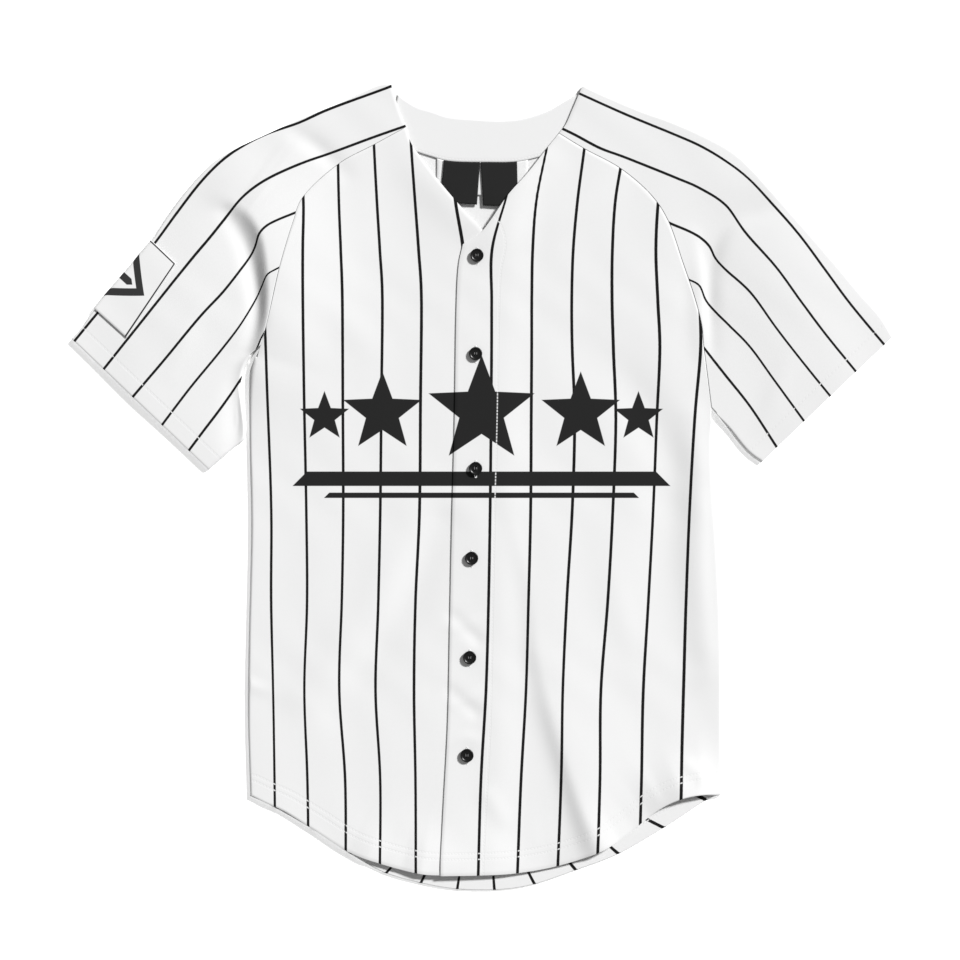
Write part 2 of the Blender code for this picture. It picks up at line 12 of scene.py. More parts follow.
import bmesh
import bpy
import numpy as np
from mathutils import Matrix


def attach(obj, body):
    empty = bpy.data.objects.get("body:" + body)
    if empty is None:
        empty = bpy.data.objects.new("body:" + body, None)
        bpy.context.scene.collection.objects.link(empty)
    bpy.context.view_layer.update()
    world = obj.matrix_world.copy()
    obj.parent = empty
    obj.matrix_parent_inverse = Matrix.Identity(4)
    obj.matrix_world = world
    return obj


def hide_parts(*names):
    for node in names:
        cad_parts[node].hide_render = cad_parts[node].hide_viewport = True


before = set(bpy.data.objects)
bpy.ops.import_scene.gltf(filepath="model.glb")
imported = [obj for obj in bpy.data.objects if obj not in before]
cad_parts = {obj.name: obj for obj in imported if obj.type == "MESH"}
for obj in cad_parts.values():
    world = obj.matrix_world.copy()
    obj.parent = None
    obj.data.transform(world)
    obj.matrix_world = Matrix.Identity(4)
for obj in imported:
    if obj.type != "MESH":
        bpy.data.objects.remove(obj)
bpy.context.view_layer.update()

LOG = logging.getLogger("jersey")
MM = 0.001
Row = tuple[float, ...]
Table = Sequence[Row]
Points = np.ndarray


class Side(Enum):
    """The wearer's side that a piece is on, as the sign of its X."""

    LEFT = 1
    RIGHT = -1


@dataclass(frozen=True)
class Layers:
    """Walls and heights of the cloth layers, each height that of the middle of the wall.

    The solids' wall sets the heights; the cloth shown is thinner and lies in the middle of it.
    """

    wall: float = 1.2
    trim_wall: float = 1.0
    shown_wall: float = 0.8
    gap: float = 0.3
    front_mid: float = 4.0
    lap_rise: float = 1.2
    lap_width: float = 46.0
    lap_fade: float = 34.0
    turn_up_depth: float = 20.0
    turn_up_end_inset: float = 5.0
    clearance: float = 0.05
    roll_start: float = 40.0
    shift: tuple[float, float] = (-1.0, 1.0)

    @property
    def back_mid(self) -> float:
        """Height of the back layer."""
        return self.wall / 2

    @property
    def lowest_front(self) -> float:
        """Lowest height of the front layer that clears the back."""
        return self.wall + self.gap + self.wall / 2 + self.clearance

    @property
    def trim_mid(self) -> float:
        """Height of trim that lies on the back."""
        return self.wall + self.gap + self.trim_wall / 2

    @property
    def tab_mid(self) -> float:
        """Height of the tabs that lie on the size tag."""
        return self.trim_mid + self.trim_wall + self.gap

    @property
    def turn_up_radius(self) -> float:
        """Radius of the fold at the back's hem."""
        return (self.wall + self.gap) / 2

    @property
    def patch_stand(self) -> float:
        """Distance from the middle of the sleeve's wall to the middle of the patch's."""
        return self.wall / 2 + self.gap + self.trim_wall / 2

    @property
    def patch_lift(self) -> float:
        """Rise of the sleeve's back layer over the part of the patch that is under it."""
        return self.patch_stand + self.trim_wall / 2 - self.back_mid


LAYERS = Layers()

# Numbers of stations of the coarse layout, and how many fine cells lie between them
RAGLAN_STATIONS = 15
NECKLINE_STATIONS = 9
PLACKET_STATIONS = 27
ARM_STATIONS = 11
PATCH_STATIONS = 8
FINE = 6
ROLL_STEPS = 6
FOLD_STEPS = 10
PATH_STATIONS = 24
EDGE_STATIONS = 60

# Distance given to points of a cloth for an edge that it doesn't have
FAR = 99.0

# Outlines, a row per point: x, y
BACK_NECK = [(-61.5, 367), (-48, 363), (-30.5, 357.5), (-1.5, 355), (18, 354), (37.5, 355.5), (55, 360),
             (68.5, 365.5)]
PLACKET = [(-18, 234), (-22.5, 210), (-24.5, 161), (-26, 64), (-28.5, -33), (-30.5, -130), (-32.5, -227),
           (-36.5, -304.5), (-39.5, -362), (-39.5, -377)]
UNDERLAP = [(16, 229), (13, 180), (11, 64), (8, -72), (5.5, -188), (1.5, -304.5), (-1.5, -376.5)]
BACK_HEM = [(-224.5, -300.5), (-200.5, -312), (-165.5, -332), (-129.5, -355.5), (-95.5, -374.5), (-59.5, -385),
            (-24.5, -391), (18, -391.5), (52, -386), (91.5, -372.5), (134.5, -356), (181, -329), (218.5, -304.5),
            (233.5, -299)]
FACING_TOP = [(-81, 379.5), (-72, 373), (-61.5, 367), (-48, 363), (-30.5, 357.5), (-1.5, 355), (18, 354),
              (37.5, 355.5), (55, 360), (68.5, 365.5), (81, 373), (93.5, 379.5)]
FACING_LOW = [(-75, 328), (-50, 320), (-30.5, 315), (3.5, 314), (37.5, 315), (73, 324)]
FACING_END_RIGHT = [(-81, 379.5), (-83, 360), (-75, 328)]
FACING_END_LEFT = [(93.5, 379.5), (94.5, 360), (73, 324)]


@dataclass(frozen=True)
class SideOutlines:
    """Outlines of the pieces on one side of the wearer, a row per point: x, y."""

    neckline: Table
    raglan: Table
    back_raglan: Table
    side: Table
    hem: Table
    shoulder: Table
    arm_top: Table
    underarm: Table
    cuff: Table
    neck_front: Table
    neck_back: Table


OUTLINES = {
    Side.LEFT: SideOutlines(
        neckline=[(75, 341.5), (62.5, 326), (45, 303.5), (25.5, 281.5), (8, 256), (-2.5, 243.5), (-18, 234)],
        raglan=[(75, 341.5), (100.5, 326), (134.5, 307.5), (163.5, 282.5), (181, 256), (194.5, 217.5),
                (206, 183.5), (213, 156), (215, 135), (219, 104), (222.5, 76)],
        back_raglan=[(68.5, 365.5), (105, 338.5), (144, 304.5), (175, 266), (194.5, 217.5), (208, 169),
                     (215, 135), (219, 104), (222.5, 76)],
        side=[(222.5, 76), (223.5, 40), (225, -4), (229.5, -72), (232.5, -149.5), (233, -246.5),
              (233.5, -299)],
        hem=[(-39.5, -377), (-1.5, -376.5), (34.5, -374.5), (74, -367.5), (114, -354), (141, -337.5),
             (170, -315), (192.5, -303.5), (214, -299), (233.5, -299)],
        shoulder=[(98.5, 389), (115, 381), (153.5, 364.5), (183, 354), (212, 341.5), (241, 326), (260.5, 309.5),
                  (280, 288), (304, 261), (328.5, 233)],
        arm_top=[(328.5, 233), (347.5, 210.5), (367, 187), (386.5, 165), (399, 144.5)],
        underarm=[(222.5, 76), (233.5, 63), (250.5, 40.5), (260.5, 30), (271, 22.5)],
        cuff=[(399, 144.5), (337, 87.5), (271, 22.5)],
        neck_front=[(98.5, 389), (94.5, 379.5), (88, 364.5), (82, 351), (75, 341.5)],
        neck_back=[(98.5, 389), (91.5, 381.5), (81, 373), (68.5, 365.5)],
    ),
    Side.RIGHT: SideOutlines(
        neckline=[(-73, 347.5), (-68.5, 332.5), (-58.5, 318), (-38.5, 292), (-16, 266), (1.5, 247.5), (16, 229)],
        raglan=[(-73, 347.5), (-105, 330), (-139, 311.5), (-172, 280.5), (-183, 253), (-195.5, 210.5),
                (-206, 163), (-213, 137)],
        back_raglan=[(-61.5, 367), (-98.5, 340.5), (-142, 304.5), (-176, 263), (-195.5, 210.5), (-206, 163),
                     (-213, 137)],
        side=[(-213, 137), (-220.5, 121), (-225, 102), (-225, 44.5), (-223.5, -42.5), (-226, -159),
              (-226.5, -227), (-224.5, -300.5)],
        hem=[(-1.5, -376.5), (-39.5, -376.5), (-62.5, -374.5), (-94.5, -366.5), (-129.5, -354),
             (-165.5, -331.5), (-192.5, -315), (-210, -307.5), (-224.5, -300.5)],
        shoulder=[(-87, 390), (-98.5, 389.5), (-118, 381), (-137.5, 371.5), (-176, 356), (-205, 342.5),
                  (-244, 324), (-263.5, 310.5), (-283, 290), (-302, 265), (-319.5, 237.5)],
        arm_top=[(-319.5, 237.5), (-341, 211.5), (-360.5, 189), (-376, 170), (-385.5, 156), (-397, 142.5)],
        underarm=[(-213, 137), (-224.5, 122), (-233, 99), (-230.5, 78.5), (-228.5, 48.5), (-241, 36),
                  (-264.5, 15.5)],
        cuff=[(-397, 142.5), (-367, 111.5), (-310, 58), (-264.5, 15.5)],
        neck_front=[(-87, 390), (-82, 372.5), (-78, 360), (-73, 347.5)],
        neck_back=[(-87, 390), (-79, 381), (-70.5, 372.5), (-61.5, 367)],
    ),
}

# Columns across a sleeve as shares of its width from the fold, and those the patch spans
FRONT_SHARES = [0, 0.1, 0.215, 0.31, 0.4, 0.48, 0.55, 0.62, 0.68, 0.74, 0.79, 0.84, 0.88, 0.92, 0.96, 1]
BACK_SHARES = [0, 0.15, 0.33, 0.55, 0.78, 1]
PATCH_COLUMN = 2
PATCH_CENTRE = (-335.0, 187.0)
PATCH_LIFT_REACH = 92.0
PATCH_LIFT_FADE = 25.0
PATCH_EASE_SHARE = 0.4

# Folds of the front, a row per point along each: x, y, height; then the reach to its left and right
LARGE_FOLDS = {
    "armhole ridge right": ([(-237, 274, 1.5), (-222, 262, 4.5), (-209, 236, 6), (-204, 190, 6.2),
                             (-208, 156, 5.5), (-217, 126, 3.5)], 62, 9),
    "armhole trough right": ([(-247, 266, -0.8), (-229, 234, -1.8), (-219, 195, -2.2), (-216, 161, -2.2),
                              (-222, 132, -1.6)], 7, 9),
    "underarm trough right": ([(-229, 120, -1), (-236, 92, -2), (-237, 62, -2), (-238, 40, -1)], 6, 12),
    "armhole ridge left": ([(206, 240, 0.4), (211, 205, 1.2), (212, 170, 1.6), (214, 130, 0.8)], 7, 10),
    "sleeve valley left": ([(284, 272, -0.6), (262, 266, -1.6), (240, 256, -2), (226, 236, -2.1),
                            (220, 208, -2), (219, 175, -1.8), (221, 140, -0.8)], 10, 24),
    "hem crease": ([(32, -33, 0.6), (50, -101, 1.4), (57, -165, 2), (72, -227, 2.8), (90, -285, 3.6),
                    (103, -324, 3.8), (113, -352, 3)], 56, 12),
    "hem lift": ([(-160, -336, 0.2), (-125, -356, 0.6), (-108, -363, 2.4), (-90, -368, 1.6), (-70, -373, 2.6),
                  (-56, -376, 4.6), (-40, -377, 3.6), (-8, -377, 2.6), (30, -375, 2.2), (70, -368, 1.4),
                  (96, -361, 2.6), (118, -352, 3.2), (136, -341, 1.2), (158, -324, 1), (176, -310, 3.6),
                  (190, -304, 5.8), (206, -300, 5.6), (222, -299, 2.6), (230, -299, 0.6)], 38, 20),
    "belly trough right": ([(-40, -38, -0.8), (-69, -111, -1.4), (-108, -169, -1.4), (-142, -217, -0.6)], 20, 16),
    "belly ridge right": ([(-62, -20, 0.6), (-95, -95, 1.2), (-136, -150, 1.2), (-172, -200, 0.6)], 18, 22),
    "chest trough left": ([(100, 142, -0.6), (154, 83, -1.4), (178, 35, -1.6), (183, -4, -1.5), (183, -86, -1.2),
                           (207, -198, -0.6)], 20, 26),
    "side ridge left": ([(206, 66, 0.8), (210, -4, 1.6), (211, -86, 1.4), (218, -180, 0.8)], 12, 16),
    "shoulder crease right": ([(-181, 343, -0.6), (-157, 326, -1.2), (-132, 302, -0.5)], 9, 9),
    "sleeve puff right": ([(-250, 290, 1), (-290, 190, 2), (-330, 105, 1.4)], 48, 48),
    "sleeve puff left": ([(255, 285, 1), (300, 190, 2), (334, 98, 1.4)], 48, 48),
    "neck stand": ([(-60, 306, 1), (-38, 286, 1.8), (-10, 258, 1.8), (14, 262, 1.8), (38, 292, 1.8),
                    (58, 312, 1)], 22, 22),
    "pucker upper": ([(-28, -125, -0.5), (-4, -149, -0.8)], 6, 6),
    "pucker lower": ([(-30, -198, -0.5), (-6, -219, -0.8)], 6, 6),
}

# Small creases that only the looks have, in the same form
SMALL_FOLDS = {
    "placket pucker 1": ([(-27, -212, 0.25), (-12, -206, 0.5), (4, -196, 0.15)], 5, 6),
    "placket pucker 2": ([(-31, -250, 0.2), (-14, -243, 0.5), (2, -250, 0.15)], 5, 6),
    "placket pucker 3": ([(-28, -138, 0.2), (-13, -134, 0.45), (0, -126, 0.1)], 5, 6),
    "side pucker right": ([(-226, -192, 0.8), (-214, -196, 0.5), (-200, -200, 0.1)], 6, 7),
    "hem pucker left": ([(200, -270, 0.6), (214, -282, 0.5), (224, -288, 0.2)], 7, 6),
    "hem pucker right": ([(6, -300, 0.6), (20, -322, 0.4)], 9, 8),
    "neck drape": ([(40, 262, 0.2), (22, 240, 0.8), (4, 222, 0.5), (-6, 204, 0.1)], 12, 9),
    "shoulder drape left": ([(60, 240, 0.1), (90, 262, 0.5), (130, 292, 0.2)], 16, 14),
    "cuff crease right": ([(-262, 190, 0.1), (-285, 150, 0.5), (-300, 110, 0.2)], 10, 12),
    "cuff crease left": ([(300, 130, 0.1), (285, 90, 0.5), (272, 56, 0.2)], 12, 10),
    "waist ripple left": ([(120, -60, 0.1), (134, -120, 0.5), (150, -190, 0.1)], 14, 16),
    "chest ripple right": ([(-150, 190, 0.1), (-120, 150, 0.5), (-90, 120, 0.1)], 20, 16),
}

# Where the stripes of a front cross: rows of y, then the x of each stripe
STRIPES_FRONT_LEFT = [
    (382, 54, 74, 106, 142, 181, 219), (326, 37.3, 62.6, 99.4, 137.3, 177, 215.8),
    (277, 23.3, 52.9, 93.1, 129.5, 171.2, 211.9), (229, 10.2, 49.5, 88.8, 126.6, 168.8, 210),
    (180, 9.8, 48.6, 87.3, 126.2, 170.7, 211), (132, 9.7, 48.5, 87.8, 127.6, 172.7, 211.9),
    (64, 9.2, 48, 90.2, 130, 169.8, 206.1), (-23, 8.3, 47.5, 87.8, 127.1, 166.3, 201.3),
    (-111, 6.8, 45.5, 82.4, 122.2, 161.6, 197.9), (-198, 4.3, 43.1, 78.5, 115.4, 156.6, 195.4),
    (-285, -0.6, 38.2, 77.1, 114.4, 154.7, 192.9), (-382, -3.4, 34.4, 73.2, 111.1, 151.8, 190.6),
]
STRIPES_FRONT_RIGHT = [
    (382, -207, -172, -139, -106, -70.5, -38), (333, -211, -176.1, -139.2, -104.3, -68.4, -31.5),
    (277, -212.9, -172.2, -138.2, -101.4, -64.5, -25.7), (229, -212.9, -172.7, -136.3, -98.5, -61.1, -17.9),
    (180, -210, -172.7, -134.7, -96, -58.3, -16), (83, -207.1, -171.7, -134.3, -97, -59.2, -16),
    (-23, -203.6, -169.7, -133.9, -98.1, -60.1, -18.9), (-111, -203.7, -168.9, -135.3, -99.9, -64, -25.7),
    (-198, -201.8, -171.6, -137.8, -102.7, -65.4, -27.6), (-285, -200.4, -168.7, -132, -98.1, -64, -28.6),
    (-382, -199.3, -167.3, -131.4, -98.5, -63.5, -28.6),
]

# Where the stripes of a sleeve run: a line for each, from the fold down, a row per point: x, y
STRIPES_SLEEVE_LEFT = [
    [(86, 384), (95.5, 379.5), (139, 360), (185, 341), (212, 329), (237, 314), (260, 296), (285, 269), (309, 241),
     (333, 208.5), (357.5, 175.5), (390.5, 136), (397, 129)],
    [(72, 349), (90.5, 340), (115, 327), (139.5, 318), (188, 298.5), (212, 288), (237, 271.5), (256, 244.5),
     (285, 211.5), (309, 178.5), (333, 146.5), (361.5, 111.5), (367.5, 104)],
    [(173, 259), (183, 254), (200, 247), (212, 240.5), (221, 232), (226.5, 220.5), (236, 209.5), (260.5, 187),
     (285, 153), (309, 122), (337, 87.5), (343, 80.5)],
    [(192.5, 202.5), (200, 200), (211, 194), (217, 180), (227, 168), (240, 155), (260.5, 134), (285, 100),
     (312, 63), (317, 56)],
    [(209, 141.5), (216, 133), (236, 107.5), (260.5, 76.5), (285, 39), (290, 32)],
]
STRIPES_SLEEVE_RIGHT = [
    [(-85, 388), (-98, 383), (-147, 365), (-176, 352), (-207, 341), (-231, 329), (-252, 314), (-273, 292.5),
     (-295, 264), (-317, 234), (-351, 192), (-375, 163.5), (-395.5, 138.5), (-402, 130)],
    [(-69, 350), (-75, 348), (-105, 337.5), (-136, 326), (-176, 311.5), (-207, 297), (-227, 283), (-241, 268),
     (-262, 241.5), (-283, 216.5), (-325, 164), (-367, 111.5), (-373, 104)],
    [(-176, 266), (-180, 264), (-197, 257), (-208, 251), (-215, 243), (-219, 231), (-226, 219), (-248, 190),
     (-273, 163), (-306, 123), (-339, 84.5), (-344, 78)],
    [(-191.5, 212.5), (-199, 209), (-207, 204), (-212, 194), (-219, 180), (-234, 155), (-254, 129), (-282, 95),
     (-310, 58), (-315, 51)],
    [(-213, 143), (-218.5, 130), (-225, 117), (-239, 95), (-254, 73.5), (-268, 55), (-283, 35), (-288, 28)],
]


def smoothstep(value: Points) -> Points:
    """Ease from 0 to 1 as the value goes from 0 to 1."""
    value = np.clip(value, 0.0, 1.0)
    return value * value * (3 - 2 * value)


class Line:
    """Helpers on lines of points seen from above."""

    @staticmethod
    def dense(table: Table, per_span: int = 14) -> Points:
        """Points close together on a smooth curve through a table's rows.

        Args:
            table: rows of x, y and any further columns.
            per_span: points from one row to the next.

        Returns:
            The points, a row each.
        """
        rows = np.array(table, float)
        padded = np.vstack([2 * rows[0] - rows[1], rows, 2 * rows[-1] - rows[-2]])
        steps = np.linspace(0, 1, per_span, endpoint=False)[:, None]
        spans = []
        for before, start, end, after in zip(padded, padded[1:], padded[2:], padded[3:]):
            leave = (end - before) / 2
            arrive = (after - start) / 2
            spans.append(start + leave * steps + (3 * (end - start) - 2 * leave - arrive) * steps**2
                         + (2 * (start - end) + leave + arrive) * steps**3)
        return np.vstack(spans + [rows[-1:]])

    @staticmethod
    def travelled(points: Points) -> Points:
        """Distance along a line at each of its points."""
        steps = np.linalg.norm(np.diff(points[:, :2], axis=0), axis=1)
        return np.concatenate([[0], np.cumsum(steps)])

    @classmethod
    def at_shares(cls, table: Table, shares: Sequence[float]) -> Points:
        """Points on a table's smooth curve at shares of its length."""
        points = cls.dense(table)
        length = cls.travelled(points)
        wanted = np.array(shares) * length[-1]
        return np.column_stack([np.interp(wanted, length, column) for column in points.T])

    @classmethod
    def along(cls, table: Table, stations: int) -> Points:
        """Evenly spaced stations on a table's smooth curve."""
        return cls.at_shares(table, np.linspace(0, 1, stations))

    @staticmethod
    def chain(*runs: Points) -> Points:
        """Join runs of stations whose ends meet."""
        return np.vstack([runs[0]] + [run[1:] for run in runs[1:]])

    @staticmethod
    def normals(points: Points) -> Points:
        """Unit normals of a line, to the left of its direction."""
        direction = np.gradient(points[:, :2], axis=0)
        direction /= np.linalg.norm(direction, axis=1)[:, None]
        return np.column_stack([-direction[:, 1], direction[:, 0]])

    @classmethod
    def moved(cls, points: Points, distance: Union[float, Points]) -> Points:
        """Move a line sideways, to the left of its direction."""
        return points + cls.normals(points) * np.reshape(distance, (-1, 1))

    @staticmethod
    def distance(points: Points, line: Points) -> Points:
        """Distance from each of many points to the nearest stretch of a line.

        Args:
            points: an array whose last axis is x, y.
            line: the line's points.

        Returns:
            The distances, in the shape of the points.
        """
        flat = points.reshape(-1, 2)
        best = np.full(len(flat), np.inf)
        for start, end in zip(line[:, :2], line[1:, :2]):
            run = end - start
            share = np.clip((flat - start) @ run / (run @ run), 0, 1)
            best = np.minimum(best, np.linalg.norm(flat - start - share[:, None] * run, axis=1))
        return best.reshape(points.shape[:-1])


class Grid:
    """Helpers on grids of points."""

    @staticmethod
    def coons(top: Points, bottom: Points, start: Points, end: Points,
              across: Optional[Sequence[float]] = None) -> Points:
        """Fill four edges.

        Args:
            top: the first row, from start to end.
            bottom: the last row, from start to end.
            start: the first column, from top to bottom.
            end: the last column, from top to bottom.
            across: where the columns lie, from 0 to 1; evenly where left out.

        Returns:
            The grid, rows first.
        """
        down = np.linspace(0, 1, len(start))[:, None, None]
        side = (np.linspace(0, 1, len(top)) if across is None else np.array(across))[None, :, None]
        ruled = (1 - side) * start[:, None] + side * end[:, None] + (1 - down) * top[None] + down * bottom[None]
        corners = ((1 - side) * (1 - down) * top[0] + side * (1 - down) * top[-1]
                   + (1 - side) * down * bottom[0] + side * down * bottom[-1])
        return ruled - corners

    @staticmethod
    def relaxed(plan: Points, rounds: int = 60) -> Points:
        """Even out the inner points of a grid seen from above."""
        plan = plan.copy()
        for _ in range(rounds):
            plan[1:-1, 1:-1] = (plan[:-2, 1:-1] + plan[2:, 1:-1] + plan[1:-1, :-2] + plan[1:-1, 2:]) / 4
        return plan

    @staticmethod
    def finer(plan: Points, times: int) -> Points:
        """Put smooth points between the rows and columns of a grid.

        Args:
            plan: the coarse grid.
            times: fine cells to each coarse cell, both ways.

        Returns:
            The fine grid.
        """
        for _ in range(2):
            rows = plan.shape[0]
            flat = Line.dense(plan.reshape(rows, -1), times)
            plan = flat.reshape(len(flat), *plan.shape[1:]).swapaxes(0, 1)
        return plan

    @staticmethod
    def fine_shares(shares: Sequence[float], times: int) -> Points:
        """Shares with even steps put between them."""
        stations = np.arange((len(shares) - 1) * times + 1) / times
        return np.interp(stations, np.arange(len(shares)), shares)

    @staticmethod
    def raised(points: Points, height: Points) -> Points:
        """Points seen from above, with their height as a third column."""
        return np.concatenate([points, height[..., None]], axis=-1)

    @staticmethod
    def normals(grid: Points) -> Points:
        """Unit normals of a grid's surface at its points."""
        normal = np.cross(np.gradient(grid, axis=1), np.gradient(grid, axis=0))
        return normal / np.linalg.norm(normal, axis=2)[..., None]


class Relief:
    """Heights of the cloth layers over any point seen from above."""

    @staticmethod
    def folds(points: Points, folds: dict) -> Points:
        """Sum of the folds over the points.

        Args:
            points: an array whose last axis is x, y.
            folds: paths with their heights, and their reach to the left and right.

        Returns:
            The heights to add.
        """
        flat = points.reshape(-1, 2)
        every = np.arange(len(flat))
        total = np.zeros(len(flat))
        for path, reach_left, reach_right in folds.values():
            line = Line.along(path, PATH_STATIONS)
            start, step = line[:-1, :2], np.diff(line[:, :2], axis=0)
            away = flat[:, None] - start[None]
            share = np.clip((away * step).sum(axis=2) / (step**2).sum(axis=1), 0, 1)
            away = away - share[..., None] * step
            distance = np.linalg.norm(away, axis=2)
            nearest = distance.argmin(axis=1)
            away, distance, share = away[every, nearest], distance[every, nearest], share[every, nearest]
            side = np.cross(step[nearest] / np.linalg.norm(step[nearest], axis=1)[:, None], away)
            turn = side / np.maximum(distance, 0.001)
            reach = (reach_left + reach_right) / 2 + turn * (reach_left - reach_right) / 2
            height = line[nearest, 2] * (1 - share) + line[nearest + 1, 2] * share
            total += height * np.exp(-((distance / reach) ** 2))
        return total.reshape(points.shape[:-1])

    @classmethod
    def front(cls, points: Points, small: bool = True) -> Points:
        """Height of the middle of the front layer, with or without its small creases."""
        total = LAYERS.front_mid + cls.folds(points, LARGE_FOLDS)
        if small:
            total = total + cls.folds(points, SMALL_FOLDS) + cls.ripple(points)
        return np.maximum(total, LAYERS.lowest_front)

    @staticmethod
    def ripple(points: Points) -> Points:
        """Slight unevenness of cloth that has been worn and laid by hand."""
        x, y = points[..., 0], points[..., 1]
        return (0.16 * np.sin(x / 23 + 1.7 * np.sin(y / 61)) * np.sin(y / 37 + 1.3 * np.sin(x / 47))
                + 0.07 * np.sin(x / 9.1 + y / 13.7 + 2 * np.sin(y / 29)))

    @staticmethod
    def back(points: Points) -> Points:
        """Height of the middle of the back layer, raised where the sleeve patch passes under it."""
        distance = np.linalg.norm(points - np.array(PATCH_CENTRE), axis=-1)
        return LAYERS.back_mid + LAYERS.patch_lift * smoothstep((PATCH_LIFT_REACH - distance) / PATCH_LIFT_FADE)

    @staticmethod
    def lap(points: Points) -> Points:
        """Rise of the top front where it lies over the lower one."""
        placket = Line.dense(PLACKET)[::-1]
        opening = np.interp(points[..., 1], placket[:, 1], placket[:, 0])
        reach = LAYERS.lap_width + LAYERS.lap_fade - (points[..., 0] - opening)
        return LAYERS.lap_rise * smoothstep(reach / LAYERS.lap_fade)


@dataclass
class Strip:
    """A grid of middle-surface points with what its cloth needs to know at each of them."""

    grid: Points
    stripe: Points
    edge: Points

    def facing_up(self) -> "Strip":
        """The strip with its columns in the order that turns its right side up."""
        if Grid.normals(self.grid)[0, 0, 2] > 0:
            return self
        return Strip(self.grid[:, ::-1], self.stripe[:, ::-1], self.edge[:, ::-1])


def placed(point: Sequence[float]) -> tuple[float, float, float]:
    """A point of the tables, in millimetres, as metres from the origin."""
    return (point[0] + LAYERS.shift[0]) * MM, (point[1] + LAYERS.shift[1]) * MM, point[2] * MM


def joined_piece(name: str, shape: bmesh.types.BMesh, materials: Iterable[bpy.types.Material],
                 smooth: bool = True) -> bpy.types.Object:
    """Turn a shape into a named object.

    Args:
        name: the piece's name.
        shape: the shape, which is freed.
        materials: its materials in slot order.
        smooth: whether its faces are shaded smooth.

    Returns:
        The object.
    """
    mesh = bpy.data.meshes.new(name)
    shape.to_mesh(mesh)
    shape.free()
    for polygon in mesh.polygons:
        polygon.use_smooth = smooth
    for material in materials:
        mesh.materials.append(material)
    piece = bpy.data.objects.new(name, mesh)
    bpy.context.scene.collection.objects.link(piece)
    return piece


@dataclass
class ClothPiece:
    """A piece of cloth made from strips of its middle surface.

    The first material is its right side, the second its wrong side, the third its edges, painted a darker grey as
    shade.
    """

    name: str
    node: str
    strips: list[Strip]
    materials: list[bpy.types.Material]
    slot: str
    wall: float = LAYERS.shown_wall

    def build(self) -> bpy.types.Object:
        """Make the object, with its wall, hang it under the root and hide the CAD part that it stands for."""
        shape = bmesh.new()
        stripe = shape.verts.layers.float.new("stripe")
        edge = shape.verts.layers.float_vector.new("edge")
        for strip in self.strips:
            rows, columns = strip.grid.shape[:2]
            made = bmesh.ops.create_grid(shape, x_segments=columns - 1, y_segments=rows - 1, size=1.0)
            points = strip.grid.reshape(-1, 3)
            stripes = strip.stripe.ravel()
            edges = strip.edge.reshape(-1, 3)
            for vertex, point, phase, near in zip(made["verts"], points, stripes, edges):
                vertex.co = placed(point)
                vertex[stripe] = phase
                vertex[edge] = near
        bmesh.ops.remove_doubles(shape, verts=shape.verts, dist=0.01 * MM)
        piece = joined_piece(self.name, shape, self.materials)
        thicken = piece.modifiers.new("wall", "SOLIDIFY")
        thicken.thickness = self.wall * MM
        thicken.offset = 0.0
        thicken.use_quality_normals = True
        thicken.material_offset = min(len(self.materials) - 1, 1)
        # The rims take the last material; for the body and sleeves that is the edge cloth, painted darker as
        # shade.
        thicken.material_offset_rim = len(self.materials) - 1
        level = piece.modifiers.new("even light", "WEIGHTED_NORMAL")
        level.weight = 100
        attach(piece, "root")
        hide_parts(self.node)
        LOG.info("%s: %d cells", self.name, len(piece.data.polygons))
        return piece


class Rolls:
    """The curl that brings the front layer's edge down to the layer under it at a seam."""

    @staticmethod
    def inset(line: Points, toward_left: bool) -> tuple[Points, Points, Points]:
        """Move an edge in by what its roll takes.

        Args:
            line: the seam's edge, from where the roll starts.
            toward_left: whether the cloth lies to the left of the line's direction.

        Returns:
            The moved line, the share of the full roll at each point and the outward directions.
        """
        share = smoothstep(Line.travelled(line) / LAYERS.roll_start)
        sign = 1 if toward_left else -1
        radius = Relief.front(line) - LAYERS.wall - LAYERS.gap
        take = radius * np.sin(share * math.pi / 2) + LAYERS.wall / 2 * share
        return Line.moved(line, sign * take), share, -sign * Line.normals(line)

    @staticmethod
    def strip(edge: Points, outward: Points, height: Points, share: Points) -> Points:
        """Columns that curl from an edge down to the layer under it."""
        radius = (height - LAYERS.wall - LAYERS.gap)[:, None]
        angle = (share * math.pi / 2)[:, None] * np.linspace(0, 1, ROLL_STEPS + 1)
        plan = edge[:, None] + outward[:, None] * (radius * np.sin(angle))[..., None]
        return Grid.raised(plan, height[:, None] - radius * (1 - np.cos(angle)))


